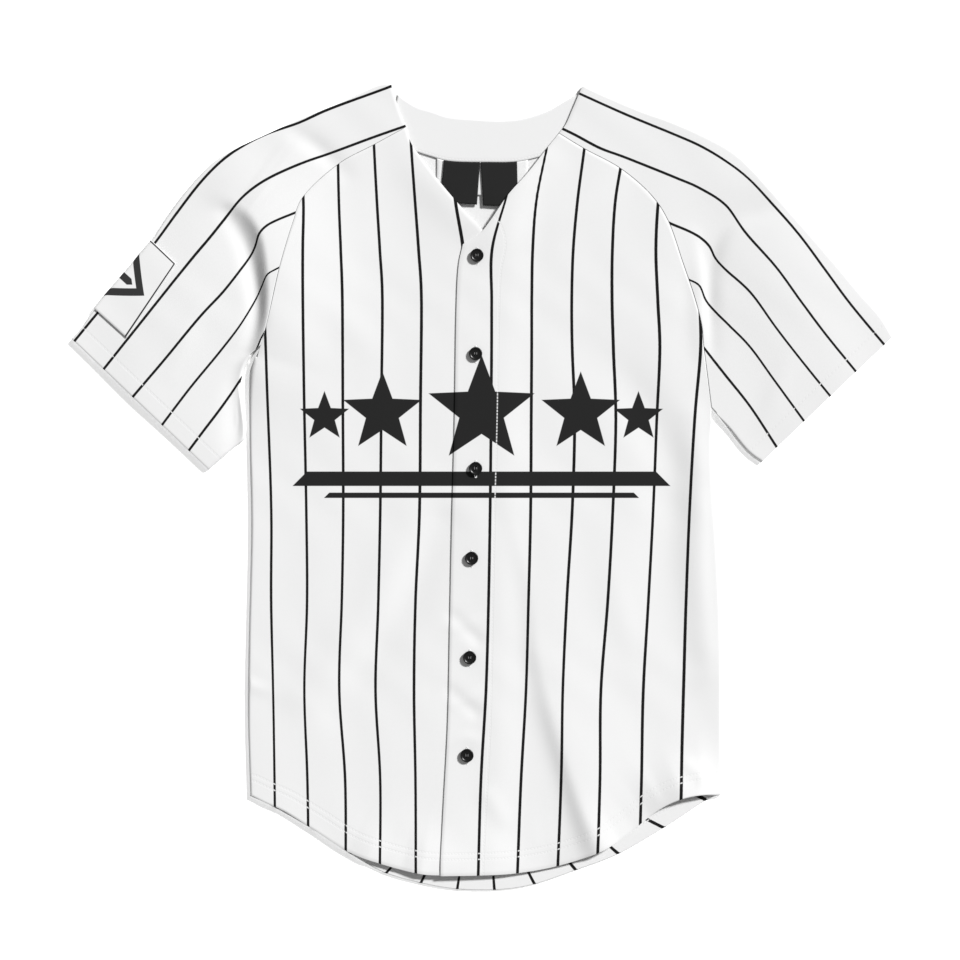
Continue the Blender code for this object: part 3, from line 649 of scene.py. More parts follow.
@dataclass
class Front:
    """One front of the body, from its raglan seam and neck to its curved hem."""

    side: Side
    stripes: Table
    inner_edge: Table
    over: bool

    def plan(self) -> tuple[Points, Points, Points]:
        """Lay out the front seen from above.

        Returns:
            The grid, then the share of the roll and the outward direction down its side seam.
        """
        cut = OUTLINES[self.side]
        sign = self.side.value
        rows = NECKLINE_STATIONS + PLACKET_STATIONS - 1

        def edges(times: int) -> tuple[Points, ...]:
            across = (RAGLAN_STATIONS - 1) * times + 1
            inner = Line.chain(Line.along(cut.neckline, (NECKLINE_STATIONS - 1) * times + 1),
                               Line.along(self.inner_edge, (PLACKET_STATIONS - 1) * times + 1))
            down = np.linspace(1, 0, len(inner))[:, None]
            raglan = Line.moved(Line.along(cut.raglan, across), -sign * LAYERS.gap / 2)
            edge, share, outward = Rolls.inset(Line.along(cut.side, (rows - 1) * times + 1), sign < 0)
            inner = inner + (raglan[0] - inner[0]) * down**8
            edge = edge + (raglan[-1] - edge[0]) * down**8
            bottom = Line.along(cut.hem, across)
            bottom = bottom + (edge[-1] - bottom[-1]) * np.linspace(0, 1, across)[:, None] ** 4
            return raglan, bottom, inner, edge, share, outward

        coarse = Grid.relaxed(Grid.coons(*edges(1)[:4]))
        plan = Grid.finer(coarse, FINE)
        top, bottom, inner, edge, share, outward = edges(FINE)
        plan = plan + Grid.coons(top - plan[0], bottom - plan[-1], inner - plan[:, 0], edge - plan[:, -1])
        return plan, share, outward

    def strips(self) -> list[Strip]:
        """The front's body and the roll along its side seam."""
        cut = OUTLINES[self.side]
        plan, share, outward = self.plan()
        height = Relief.front(plan)
        if self.over:
            height = height + Relief.lap(plan)
        roll = Rolls.strip(plan[FINE:, -1], outward[FINE:], height[FINE:, -1], share[FINE:])
        found = []
        for grid in (Grid.raised(plan, height), roll):
            flat = grid[..., :2]
            near = near_edges(flat, cut.hem, self.inner_edge)
            found.append(Strip(grid, column_phase(flat, self.stripes), near).facing_up())
        return found


def near_edges(points: Points, *tables: Table) -> Points:
    """Distances from points to two edges at most, as the three values that a cloth keeps.

    Args:
        points: an array whose last axis is x, y.
        tables: the edges.

    Returns:
        The distances, with FAR for each edge left out.
    """
    found = [Line.distance(points, Line.along(table, EDGE_STATIONS)) for table in tables]
    found += [np.full(points.shape[:-1], FAR)] * (3 - len(found))
    return np.stack(found, axis=-1)


def column_phase(points: Points, table: Table) -> Points:
    """Number of the stripe at each point, whole on a stripe's middle.

    Args:
        points: an array whose last axis is x, y.
        table: rows of y, then the x of each stripe.

    Returns:
        The phases.
    """
    rows = Line.dense(table)[::-1]
    crossings = np.stack([np.interp(points[..., 1], rows[:, 0], column) for column in rows[:, 1:].T], axis=-1)
    return phase_between(points[..., 0], crossings)


def phase_between(value: Points, crossings: Points, beyond: float = 1.2) -> Points:
    """Where a value lies among rising or falling crossings.

    Args:
        value: the values.
        crossings: the value at each whole phase, on the last axis.
        beyond: the spacing past the last crossing, as a share of the last one.

    Returns:
        The phases.
    """
    steps = np.diff(crossings, axis=-1)
    spans = np.clip((value[..., None] - crossings[..., :-1]) / steps, 0, 1).sum(axis=-1)
    before = np.minimum((value - crossings[..., 0]) / steps[..., 0], 0)
    after = np.maximum((value - crossings[..., -1]) / steps[..., -1], 0)
    return spans + before + after / beyond


@dataclass
class Sleeve:
    """One short sleeve, folded along its top, open at the cuff and sewn along the underarm."""

    side: Side
    stripes: list[Table]

    def lay(self) -> tuple[Points, Points, Points]:
        """Lay out the sleeve.

        Returns:
            Its whole grid, its plan with the fold opened out, and the roll's grid.
        """
        cut = OUTLINES[self.side]
        sign = self.side.value
        yoke = (RAGLAN_STATIONS - 1) * FINE + 1
        arm = (ARM_STATIONS - 1) * FINE + 1
        top_line = Line.chain(Line.along(cut.shoulder, yoke), Line.along(cut.arm_top, arm))
        outward = sign * Line.normals(top_line)
        radius = (Relief.front(top_line) - Relief.back(top_line)) / 2
        fold_line = top_line - outward * (radius + LAYERS.wall / 2)[:, None]

        front_low = Line.moved(Line.along(cut.raglan, yoke), sign * LAYERS.gap / 2)
        back_low = Line.moved(Line.along(cut.back_raglan, yoke), sign * LAYERS.gap / 2)
        arm_low = Line.along(cut.underarm, arm)
        arm_low = arm_low + (front_low[-1] - arm_low[0]) * np.linspace(1, 0, arm)[:, None] ** 6
        arm_edge, share, roll_out = Rolls.inset(arm_low, sign > 0)
        front_shares = Grid.fine_shares(FRONT_SHARES, FINE)
        back_shares = Grid.fine_shares(BACK_SHARES, 2 * FINE)
        front = self.fill(fold_line, Line.chain(front_low, arm_edge), cut.neck_front, front_shares)
        if self.side is Side.RIGHT:
            front = self.straightened(front, front_shares)
        back = self.fill(fold_line, Line.chain(back_low, arm_low), cut.neck_back, back_shares)
        front_mid = Relief.front(front)
        back_mid = Relief.back(back)

        turn = np.linspace(math.pi / 2, -math.pi / 2, FOLD_STEPS + 1)[1:-1]
        fold_radius = (front_mid[:, 0] - back_mid[:, 0])[:, None] / 2
        fold_centre = (front_mid[:, 0] + back_mid[:, 0])[:, None] / 2
        fold_plan = fold_line[:, None] + outward[:, None] * (fold_radius * np.cos(turn))[..., None]
        fold = Grid.raised(fold_plan, fold_centre + fold_radius * np.sin(turn))
        layers = [Grid.raised(front, front_mid)[:, ::-1], fold, Grid.raised(back, back_mid)]
        whole = np.concatenate(layers, axis=1)

        across = outward[:, None]
        arc = (fold_radius * math.pi)[..., None]
        opened_fold = fold_line[:, None] + across * arc * np.linspace(0, 1, FOLD_STEPS + 1)[1:-1, None]
        away = back - fold_line[:, None]
        mirrored = away - 2 * (away * across).sum(axis=-1, keepdims=True) * across
        opened_back = fold_line[:, None] + across * arc + mirrored
        opened = np.concatenate([front[:, ::-1], opened_fold, opened_back], axis=1)
        first = yoke - 1 + FINE
        roll = Rolls.strip(front[first:, -1], roll_out[FINE:], front_mid[first:, -1], share[FINE:])
        return whole, opened, roll

    @staticmethod
    def straightened(front: Points, shares: Points) -> Points:
        """The front layer, eased so that the patch's inner edge is straight.

        Args:
            front: the layer's grid.
            shares: where its columns lie between the fold and the lower edge.

        Returns:
            The eased grid.
        """
        first = (RAGLAN_STATIONS - 1) * FINE
        count = (PATCH_STATIONS - 1) * FINE + 1
        edge = front[first:first + count, PATCH_COLUMN * FINE]
        ease = np.interp(shares, [0, shares[PATCH_COLUMN * FINE], PATCH_EASE_SHARE], [0, 1, 0])
        front = front.copy()
        shift = np.linspace(edge[0], edge[-1], count) - edge
        front[first:first + count] += shift[:, None] * ease[None, :, None]
        return front

    @staticmethod
    def fill(near: Points, far: Points, neck: Table, shares: Points) -> Points:
        """Fill one layer of the sleeve between its fold and its lower edge.

        Args:
            near: the fold's line.
            far: the lower edge, down the raglan seam and the underarm.
            neck: the edge at the neck, from the fold.
            shares: where the columns lie between the two.

        Returns:
            The layer's grid seen from above.
        """
        toward = shares[:, None]
        start = Line.at_shares(neck, shares)
        start = start + (near[0] - start[0]) * (1 - toward)
        start = start + (far[0] - start[-1]) * toward
        end = near[-1] + (far[-1] - near[-1]) * toward
        return Grid.coons(start, end, near, far, shares)

    def stripe_phase(self, points: Points) -> Points:
        """Number of the stripe at each point, whole on a stripe's middle."""
        sign = self.side.value
        turn = np.array([[sign, sign], [-1, 1]]) / math.sqrt(2)
        lines = [Line.dense(table)[:, :2] @ turn for table in self.stripes]
        along, across = np.moveaxis(points @ turn, -1, 0)
        crossings = []
        for index, line in enumerate(lines):
            start, end = line[0, 0], line[-1, 0]
            crossing = np.interp(along, line[:, 0], line[:, 1])
            slope = (line[-1, 1] - line[-15, 1]) / (end - line[-15, 0])
            crossing = crossing + (along - end) * (along > end) * slope
            if index:
                before = lines[index - 1]
                offset = line[0, 1] - np.interp(start, before[:, 0], before[:, 1])
                crossing = np.where(along < start, crossings[-1] + offset, crossing)
            crossings.append(crossing)
        return phase_between(across, np.stack(crossings, axis=-1))

    def strips(self) -> list[Strip]:
        """The sleeve's folded cloth and the roll along its underarm seam."""
        cut = OUTLINES[self.side]
        whole, opened, roll = self.lay()
        found = []
        cuff = [tuple(whole[-1, 0, :2]), cut.arm_top[-1]]
        for grid, plan in ((whole, opened), (roll, roll[..., :2])):
            near = near_edges(grid[..., :2], cuff)
            found.append(Strip(grid, self.stripe_phase(plan), near).facing_up())
        return found

    def patch_strip(self) -> Strip:
        """The patch's middle surface, made from the sleeve's points moved out, with its place on the patch."""
        whole, _, _ = self.lay()
        first = (RAGLAN_STATIONS - 1) * FINE
        rows = slice(first, first + (PATCH_STATIONS - 1) * FINE + 1)
        fold = (len(FRONT_SHARES) - 1) * FINE
        columns = slice(fold - PATCH_COLUMN * FINE, fold + FOLD_STEPS + PATCH_COLUMN * 2 * FINE + 1)
        normal = Grid.normals(whole)[rows, columns]
        normal *= np.sign(normal[0, 0, 2])
        grid = whole[rows, columns] + normal * LAYERS.patch_stand
        down = np.linalg.norm(np.diff(grid[:, 0], axis=0), axis=1)
        across = np.linalg.norm(np.diff(grid[0], axis=0), axis=1)
        down = np.concatenate([[0], np.cumsum(down)])
        across = np.concatenate([[0], np.cumsum(across)])
        place = np.stack([*np.broadcast_arrays(across[None, :], down[:, None]),
                          np.broadcast_to(across[-1], grid.shape[:2])], axis=-1)
        strip = Strip(grid, np.full(grid.shape[:2], 0.5), place)
        return strip.facing_up()


@dataclass
class Back:
    """The back of the body, right side down, with its hem folded up over itself."""

    side_stations: int = 40
    hem_stations: int = 121
    cell: float = 16.0
    stripes: Table = field(default_factory=lambda: [
        (365, -229, -189, -149, -109, -69.5, -17, 25.5, 76.5, 116, 156, 196, 236),
        (150, -215, -175, -138, -101, -64, -21, 18, 61, 101, 142, 185, 226),
        (-345, -202, -165, -130, -95, -60.5, -24, 13, 53, 93.5, 135.5, 180, 221.5),
        (-420, -202, -165, -130, -95, -60.5, -24, 13, 53, 93.5, 135.5, 180, 221.5),
    ])

    def outline(self, hem: Points) -> Points:
        """Points round the back seen from above, given its hem's line."""
        left_cut, right_cut = OUTLINES[Side.LEFT], OUTLINES[Side.RIGHT]
        stations = (RAGLAN_STATIONS - 1) * FINE + 1
        left = Line.moved(Line.along(left_cut.back_raglan, stations), -LAYERS.gap / 2)
        right = Line.moved(Line.along(right_cut.back_raglan, stations), LAYERS.gap / 2)
        neck = Line.along([tuple(right[0])] + BACK_NECK[1:-1] + [tuple(left[0])], stations)
        side_left = Line.along([tuple(left[-1])] + list(left_cut.side[1:-1]) + [tuple(hem[-1])],
                               self.side_stations)
        side_right = Line.along([tuple(right[-1])] + list(right_cut.side[1:-1]) + [tuple(hem[0])],
                                self.side_stations)
        return Line.chain(right[::-1], neck, left, side_left, hem[::-1], side_right[::-1])[:-1]

    def turn_up(self) -> Strip:
        """The hem from its fold to its cut edge, with the stripes mirrored about the fold."""
        length = Line.travelled(Line.dense(BACK_HEM))[-1]
        radius = LAYERS.turn_up_radius
        rows, depths = [], []
        for share in np.linspace(0, 1, FOLD_STEPS + 1):
            angle = share * math.pi
            end = LAYERS.turn_up_end_inset / length * share
            line = Line.at_shares(BACK_HEM, np.linspace(end, 1 - end, self.hem_stations))
            line = Line.moved(line, radius * (1 - math.sin(angle)) + LAYERS.wall / 2)
            rows.append(Grid.raised(line, np.full(len(line), LAYERS.back_mid + radius * (1 - math.cos(angle)))))
            depths.append(radius * angle)
        for depth in np.linspace(0, LAYERS.turn_up_depth, 6)[1:]:
            line = Line.moved(rows[FOLD_STEPS][:, :2], depth)
            rows.append(Grid.raised(line, np.full(len(line), LAYERS.back_mid + 2 * radius)))
            depths.append(radius * math.pi + depth)
        grid = np.array(rows)
        fold = rows[0][:, :2]
        unfolded = fold[None] - Line.normals(fold)[None] * np.array(depths)[:, None, None]
        near = np.full(grid.shape, FAR)
        near[..., 0] = np.array(depths)[:, None]
        return Strip(grid, column_phase(unfolded, self.stripes), near)

    def build(self, materials: list[bpy.types.Material]) -> bpy.types.Object:
        """Make the back and its folded hem as one cloth."""
        turn = self.turn_up()
        cloth = ClothPiece("back_cloth", "back", [turn], materials, "white_cloth")
        piece = cloth.build()
        shape = bmesh.new()
        shape.from_mesh(piece.data)
        stripe = shape.verts.layers.float["stripe"]
        edge = shape.verts.layers.float_vector["edge"]
        hem = set(shape.verts)
        outline = self.outline(turn.grid[0, :, :2])
        corners = [shape.verts.new(placed((*point, LAYERS.back_mid))) for point in outline]
        bmesh.ops.contextual_create(shape, geom=corners)
        for axis in (0, 1):
            for place in np.arange(outline[:, axis].min(), outline[:, axis].max(), self.cell)[1:]:
                flat = [vertex for vertex in shape.verts if vertex not in hem]
                edges = {joint for vertex in flat for joint in vertex.link_edges}
                faces = {face for vertex in flat for face in vertex.link_faces}
                middle, across = [0.0, 0.0, 0.0], [0.0, 0.0, 0.0]
                middle[axis], across[axis] = place * MM, 1.0
                bmesh.ops.bisect_plane(shape, geom=[*flat, *edges, *faces], plane_co=middle, plane_no=across)
        flat = [vertex for vertex in shape.verts if vertex not in hem]
        plan = np.array([vertex.co[:2] for vertex in flat]) / MM - np.array(LAYERS.shift)
        for vertex, phase in zip(flat, column_phase(plan, self.stripes)):
            vertex[stripe] = phase
            vertex[edge] = (FAR, FAR, FAR)
        bmesh.ops.remove_doubles(shape, verts=shape.verts, dist=0.01 * MM)
        bmesh.ops.recalc_face_normals(shape, faces=shape.faces)
        largest = max(shape.faces, key=lambda face: face.calc_area())
        if largest.normal.z > 0:
            bmesh.ops.reverse_faces(shape, faces=shape.faces)
        shape.to_mesh(piece.data)
        shape.free()
        return piece


@dataclass
class NeckTrim:
    """The plain band inside the back of the neck and the labels that hang from it."""

    size_tag: tuple[Row, Row, Row] = ((-43, 45), (-43, 282), (45, 282))
    tab_right: tuple[Row, Row, Row] = ((-36.4, -1.4), (-40.3, 274.5), (-4.4, 272.5))
    tab_left: tuple[Row, Row, Row] = ((-0.9, 34.4), (1.5, 271.6), (35.4, 270.6))
    columns: int = 31
    rows: int = 25

    def facing(self) -> Strip:
        """The band's middle surface, following the edge of the neck."""
        plan = Grid.coons(Line.along(FACING_TOP, 121), Line.along(FACING_LOW, 121),
                          Line.along(FACING_END_RIGHT, self.rows), Line.along(FACING_END_LEFT, self.rows))
        grid = Grid.raised(plan, np.full(plan.shape[:2], LAYERS.trim_mid))
        return Strip(grid, np.full(plan.shape[:2], 0.5), near_edges(plan, FACING_LOW)).facing_up()

    def hung(self, top: Row, low_right: Row, low_left: Row, height: float, lift: float) -> Strip:
        """A flat piece that hangs from the facing's lower edge.

        Args:
            top: the X at which its top starts and ends.
            low_right: its lower corner on the wearer's right.
            low_left: its lower corner on the wearer's left.
            height: the height of the middle of its wall.
            lift: how far its lower edge stands up in the middle.

        Returns:
            The piece's middle surface, with the place of each point on it.
        """
        edge = Line.dense(FACING_LOW)
        across = np.linspace(top[0], top[1], self.columns)
        upper = np.column_stack([across, np.interp(across, edge[:, 0], edge[:, 1]) - LAYERS.gap])
        lower = np.linspace(low_right, low_left, self.columns)
        down = np.linspace(0, 1, self.rows)[:, None]
        plan = upper[None] * (1 - down[..., None]) + lower[None] * down[..., None]
        bow = lift * down**2 * np.sin(np.linspace(0, math.pi, self.columns))[None]
        place = np.stack(np.broadcast_arrays(np.linspace(0, 1, self.columns)[None], down, 0.0), axis=-1)
        return Strip(Grid.raised(plan, height + bow), np.full(plan.shape[:2], 0.5), place).facing_up()


@dataclass
class Buttons:
    """Six four-holed buttons down the placket, each with its thread and buttonhole."""

    places: tuple[Row, ...] = ((-4.4, 223.1), (-5.7, 128), (-5.7, 17), (-9.6, -69.8), (-11.5, -165.9),
                               (-14.1, -260.5))
    radius: float = 6.4
    thick: float = 2.6
    rim: float = 1.3
    dish: float = 0.7
    edge: float = 0.6
    hole_radius: float = 0.8
    hole_spread: float = 1.45
    sides: int = 64

    def base(self, place: Row) -> float:
        """Height of a button's underside, clear of the cloth under it."""
        angles = np.linspace(0, 2 * math.pi, 13)
        ring = self.radius * np.column_stack([np.cos(angles), np.sin(angles)]) + np.array(place)
        around = np.vstack([ring, place])
        cloth = float((Relief.front(around, small=False) + Relief.lap(around)).max())
        return cloth + LAYERS.wall / 2 + LAYERS.gap

    def disc(self, number: int, material: bpy.types.Material) -> bpy.types.Object:
        """Turn one button and cut its holes.

        Args:
            number: the button's number from the neck, from 1.
            material: its finish.

        Returns:
            The button.
        """
        x, y = place = self.places[number - 1]
        base = self.base(place)
        inner = self.radius - self.rim
        top = self.thick
        profile = [(0, 0), (self.radius - self.edge, 0), (self.radius - 0.15, 0.2), (self.radius, self.edge),
                   (self.radius, top - self.edge), (self.radius - 0.15, top - 0.25),
                   (self.radius - 0.5, top - 0.04), (inner + 0.3, top), (inner, top - 0.15),
                   (inner - 0.6, top - self.dish + 0.05), (inner - 1.1, top - self.dish), (0, top - self.dish)]
        shape = bmesh.new()
        line = [shape.verts.new((radius * MM, 0, height * MM)) for radius, height in profile]
        for start, end in zip(line, line[1:]):
            shape.edges.new((start, end))
        bmesh.ops.spin(shape, geom=shape.verts[:] + shape.edges[:], cent=(0, 0, 0), axis=(0, 0, 1),
                       angle=2 * math.pi, steps=self.sides, use_merge=True)
        bmesh.ops.remove_doubles(shape, verts=shape.verts, dist=0.001 * MM)
        bmesh.ops.recalc_face_normals(shape, faces=shape.faces)
        bmesh.ops.translate(shape, verts=shape.verts, vec=placed((x, y, base)))
        piece = joined_piece(f"button_{number}_disc", shape, [material])

        holes = bmesh.new()
        for corner in self.hole_places(place):
            made = bmesh.ops.create_cone(holes, cap_ends=True, segments=20, radius1=self.hole_radius * MM,
                                         radius2=self.hole_radius * MM, depth=3 * top * MM)
            bmesh.ops.translate(holes, verts=made["verts"], vec=placed((*corner, base)))
        cutter = joined_piece(f"button_{number}_cutter", holes, [material])
        cut = piece.modifiers.new("holes", "BOOLEAN")
        cut.operation = "DIFFERENCE"
        cut.solver = "EXACT"
        cut.object = cutter
        graph = bpy.context.evaluated_depsgraph_get()
        finished = bpy.data.meshes.new_from_object(piece.evaluated_get(graph))
        piece.modifiers.clear()
        piece.data = finished
        bpy.data.objects.remove(cutter)
        piece.data.set_sharp_from_angle(angle=math.radians(38))
        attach(piece, "root")
        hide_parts(f"button_{number}")
        return piece

    def hole_places(self, place: Row) -> list[Row]:
        """Middles of a button's four holes."""
        return [(place[0] + self.hole_spread * math.cos(angle), place[1] + self.hole_spread * math.sin(angle))
                for angle in (math.pi / 4 + quarter * math.pi / 2 for quarter in range(4))]

    def thread(self, number: int, material: bpy.types.Material) -> bpy.types.Object:
        """The two runs of thread across a button's holes.

        Args:
            number: the button's number from the neck, from 1.
            material: the thread's finish.

        Returns:
            The thread.
        """
        place = self.places[number - 1]
        floor = self.base(place) + self.thick - self.dish
        holes = self.hole_places(place)
        shape = bmesh.new()
        for start, end in ((holes[0], holes[3]), (holes[1], holes[2])):
            for strand in (-0.24, 0.0, 0.24):
                made = bmesh.ops.create_uvsphere(shape, u_segments=10, v_segments=8, radius=0.3)
                centre = (np.array(start) + np.array(end)) / 2
                half = math.dist(start, end) / 2 + 0.15
                for vertex in made["verts"]:
                    along = vertex.co.y / 0.3
                    vertex.co = placed((centre[0] + strand + 0.5 * vertex.co.x, centre[1] + along * half,
                                        floor + 0.12 + 0.6 * vertex.co.z - 0.5 * max(abs(along) - 0.72, 0)))
        piece = joined_piece(f"button_{number}_thread", shape, [material])
        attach(piece, "root")
        return piece

    def buttonhole(self, number: int, material: bpy.types.Material) -> bpy.types.Object:
        """The bound slit in the cloth under a button.

        Args:
            number: the button's number from the neck, from 1.
            material: the thread's finish.

        Returns:
            The stitched border of the slit.
        """
        place = self.places[number - 1]
        middle = np.array([place[0], place[1] - 0.6])
        shape = bmesh.new()
        stations = 44
        for index in range(stations):
            angle = 2 * math.pi * index / stations
            spot = middle + np.array([1.15 * math.cos(angle), 8.4 * math.copysign(abs(math.sin(angle)) ** 0.6,
                                                                              math.sin(angle))])
            height = float(Relief.front(spot) + Relief.lap(spot)) + LAYERS.shown_wall / 2
            made = bmesh.ops.create_icosphere(shape, subdivisions=1, radius=0.5)
            for vertex in made["verts"]:
                vertex.co = placed((spot[0] + 1.5 * vertex.co.x, spot[1] + 0.9 * vertex.co.y,
                                    height + 0.45 * vertex.co.z))
        piece = joined_piece(f"buttonhole_{number}", shape, [material])
        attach(piece, "root")
        return piece


class Value:
    """A shader socket that takes part in Python arithmetic."""

    def __init__(self, graph: "Graph", socket: bpy.types.NodeSocket) -> None:
        """Wrap an output socket of a graph."""
        self.graph = graph
        self.socket = socket

    def math(self, operation: str, *others: Union[float, "Value"]) -> "Value":
        """Add a Math node with this value first."""
        return self.graph.math(operation, self, *others)

    def __add__(self, other: Union[float, "Value"]) -> "Value":
        """Sum."""
        return self.math("ADD", other)

    __radd__ = __add__

    def __sub__(self, other: Union[float, "Value"]) -> "Value":
        """Difference."""
        return self.math("SUBTRACT", other)

    def __rsub__(self, other: float) -> "Value":
        """Difference from a number."""
        return self.graph.math("SUBTRACT", other, self)

    def __mul__(self, other: Union[float, "Value"]) -> "Value":
        """Product."""
        return self.math("MULTIPLY", other)

    __rmul__ = __mul__

    def __truediv__(self, other: Union[float, "Value"]) -> "Value":
        """Quotient."""
        return self.math("DIVIDE", other)

    def __abs__(self) -> "Value":
        """Size without the sign."""
        return self.math("ABSOLUTE")

    def fall(self, start: float, end: float) -> "Value":
        """Ease from 1 at the start to 0 at the end."""
        ranged = self.graph.node("ShaderNodeMapRange", {"interpolation_type": "SMOOTHSTEP"},
                                 {0: self, 1: start, 2: end, 3: 1.0, 4: 0.0})
        return Value(self.graph, ranged.outputs[0])

    def most(self, other: Union[float, "Value"]) -> "Value":
        """The larger of two values."""
        return self.math("MAXIMUM", other)

    def least(self, other: Union[float, "Value"]) -> "Value":
        """The smaller of two values."""
        return self.math("MINIMUM", other)

    def to_whole(self) -> "Value":
        """Distance to the nearest whole number."""
        return abs(self - self.math("ROUND"))


class Graph:
    """A material's node tree with short ways to add to it."""

    def __init__(self, name: str, **constants: Union[float, tuple]) -> None:
        """Start a material whose shader has these constant socket values."""
        self.material = bpy.data.materials.new(name)
        self.material.use_nodes = True
        self.tree = self.material.node_tree
        self.shader = self.tree.nodes["Principled BSDF"]
        for socket, value in constants.items():
            self.shader.inputs[socket.replace("_", " ")].default_value = value

    def node(self, kind: str, settings: dict, inputs: dict) -> bpy.types.Node:
        """Add a node.

        Args:
            kind: the node's type.
            settings: its properties, set first.
            inputs: socket names or numbers, with numbers, colours, values or sockets.

        Returns:
            The node.
        """
        made = self.tree.nodes.new(kind)
        for key, value in settings.items():
            setattr(made, key, value)
        for key, value in inputs.items():
            self.feed(made.inputs[key], value)
        return made

    def feed(self, socket: bpy.types.NodeSocket, value: object) -> None:
        """Link a value or socket to an input, or set its number or colour."""
        source = value.socket if isinstance(value, Value) else value
        if isinstance(source, bpy.types.NodeSocket):
            self.tree.links.new(source, socket)
        else:
            socket.default_value = source

    def math(self, operation: str, *values: Union[float, Value]) -> Value:
        """Add a Math node."""
        made = self.node("ShaderNodeMath", {"operation": operation}, dict(enumerate(values)))
        return Value(self, made.outputs[0])

    def attribute(self, name: str) -> bpy.types.Node:
        """Read an attribute of the piece."""
        return self.node("ShaderNodeAttribute", {"attribute_name": name}, {})

    def parts(self, vector: bpy.types.NodeSocket) -> tuple[Value, Value, Value]:
        """Split a vector into its three values."""
        made = self.node("ShaderNodeSeparateXYZ", {}, {0: vector})
        return tuple(Value(self, output) for output in made.outputs)

    def place(self) -> tuple[Value, Value, Value]:
        """Object coordinates in millimetres."""
        source = self.node("ShaderNodeTexCoord", {}, {})
        x, y, z = self.parts(source.outputs["Object"])
        return x * 1000, y * 1000, z * 1000

    def noise(self, scale: float, detail: float = 2.0) -> Value:
        """Noise from 0 to 1 on Object coordinates, with its scale for each metre."""
        source = self.node("ShaderNodeTexCoord", {}, {})
        made = self.node("ShaderNodeTexNoise", {}, {"Vector": source.outputs["Object"], "Scale": scale,
                                                    "Detail": detail})
        return Value(self, made.outputs["Fac"])

    def mix(self, share: Value, low: object, high: object) -> bpy.types.NodeSocket:
        """Mix two colours."""
        made = self.node("ShaderNodeMix", {"data_type": "RGBA"}, {0: share, 6: low, 7: high})
        return made.outputs[2]

    def finish(self, colour: object = None, roughness: object = None, height: Optional[Value] = None,
               distance: float = 0.0002, strength: float = 0.5) -> bpy.types.Material:
        """Feed the shader and return the material.

        Args:
            colour: the base colour's socket.
            roughness: the roughness.
            height: the height for a bump.
            distance: the bump's depth in metres.
            strength: the bump's strength.

        Returns:
            The material.
        """
        if colour is not None:
            self.feed(self.shader.inputs["Base Color"], colour)
        if roughness is not None:
            self.feed(self.shader.inputs["Roughness"], roughness)
        if height is not None:
            bump = self.node("ShaderNodeBump", {}, {"Strength": strength, "Distance": distance, "Height": height})
            self.feed(self.shader.inputs["Normal"], bump.outputs[0])
        return self.material


def grey(value: float) -> tuple[float, float, float, float]:
    """A neutral colour."""
    return value, value, value, 1.0


@dataclass(frozen=True)
class ClothFinish:
    """Woven white cloth, with or without its stripes, stitch rows and chest print."""

    name: str
    white: float = 0.80
    stripe: float = 0.006
    stripe_width: float = 2.9
    pitch: float = 39.0
    stitch_rows: Row = (15.6, 21.2)
    stitch_length: float = 3.2
    thread_width: float = 0.55
    thread_pitch: float = 0.62
    striped: bool = True
    printed: bool = False
    edge_row: Optional[float] = None

    def weave(self, graph: Graph) -> Value:
        """Height of the crossed threads."""
        x, y, _ = graph.place()
        turn = 2 * math.pi / self.thread_pitch
        warp = (x * turn).math("SINE")
        weft = (y * turn).math("SINE")
        return warp * weft * 0.5 + 0.5

    def rows(self, graph: Graph, edge: Value, run: Value, rows: Iterable[float]) -> tuple[Value, Value]:
        """Stitches in rows at set distances from an edge.

        Args:
            graph: the material's graph.
            edge: the distance from the edge.
            run: the distance along it.
            rows: the rows' distances.

        Returns:
            The share of thread and the share of groove.
        """
        dash = (run / self.stitch_length).to_whole().fall(0.30, 0.42)
        thread, groove = graph.math("ADD", 0.0, 0.0), graph.math("ADD", 0.0, 0.0)
        for row in rows:
            away = abs(edge - row)
            thread = thread.most(away.fall(self.thread_width * 0.6, self.thread_width * 1.4) * dash)
            groove = groove.most(away.fall(0.2, 1.5))
        return thread, groove

    def build(self) -> bpy.types.Material:
        """Make the material."""
        graph = Graph(self.name, Roughness=0.86, Specular_IOR_Level=0.1)
        x, y, _ = graph.place()
        weave = self.weave(graph)
        cloudy = graph.noise(26.0)
        fuzz = graph.noise(1400.0, 3.0)
        colour = graph.mix(cloudy * 0.5 + fuzz * 0.35 + weave * 0.15, grey(self.white * 0.975), grey(self.white))
        hem, front_edge, _ = graph.parts(graph.attribute("edge").outputs["Vector"])
        thread, groove = self.rows(graph, hem, x, self.stitch_rows)
        if self.edge_row is not None:
            more, deeper = self.rows(graph, front_edge, y, (self.edge_row,))
            thread, groove = thread.most(more), groove.most(deeper)
        if self.striped:
            phase = Value(graph, graph.attribute("stripe").outputs["Fac"])
            wander = (graph.noise(420.0) - 0.5) * 0.25
            off = phase.to_whole() * self.pitch + wander
            mask = off.fall(self.stripe_width / 2 - 0.22, self.stripe_width / 2 + 0.22)
            colour = graph.mix(mask, colour, graph.mix(fuzz, grey(self.stripe), grey(self.stripe * 1.9)))
        if self.printed:
            colour = ChestPrint().over(graph, colour, x, y, fuzz)
        # Painted shade: the stitch grooves are painted a little darker, standing in for the shade in the recess.
        colour = graph.mix(groove * 0.05, colour, grey(self.white * 0.6))
        colour = graph.mix(thread * 0.85, colour, grey(self.white))
        height = weave * 0.25 + fuzz * 0.35 - groove * 1.1 + thread * 0.9
        return graph.finish(colour, 0.82 + fuzz * 0.12, height, 0.00018, 0.5)


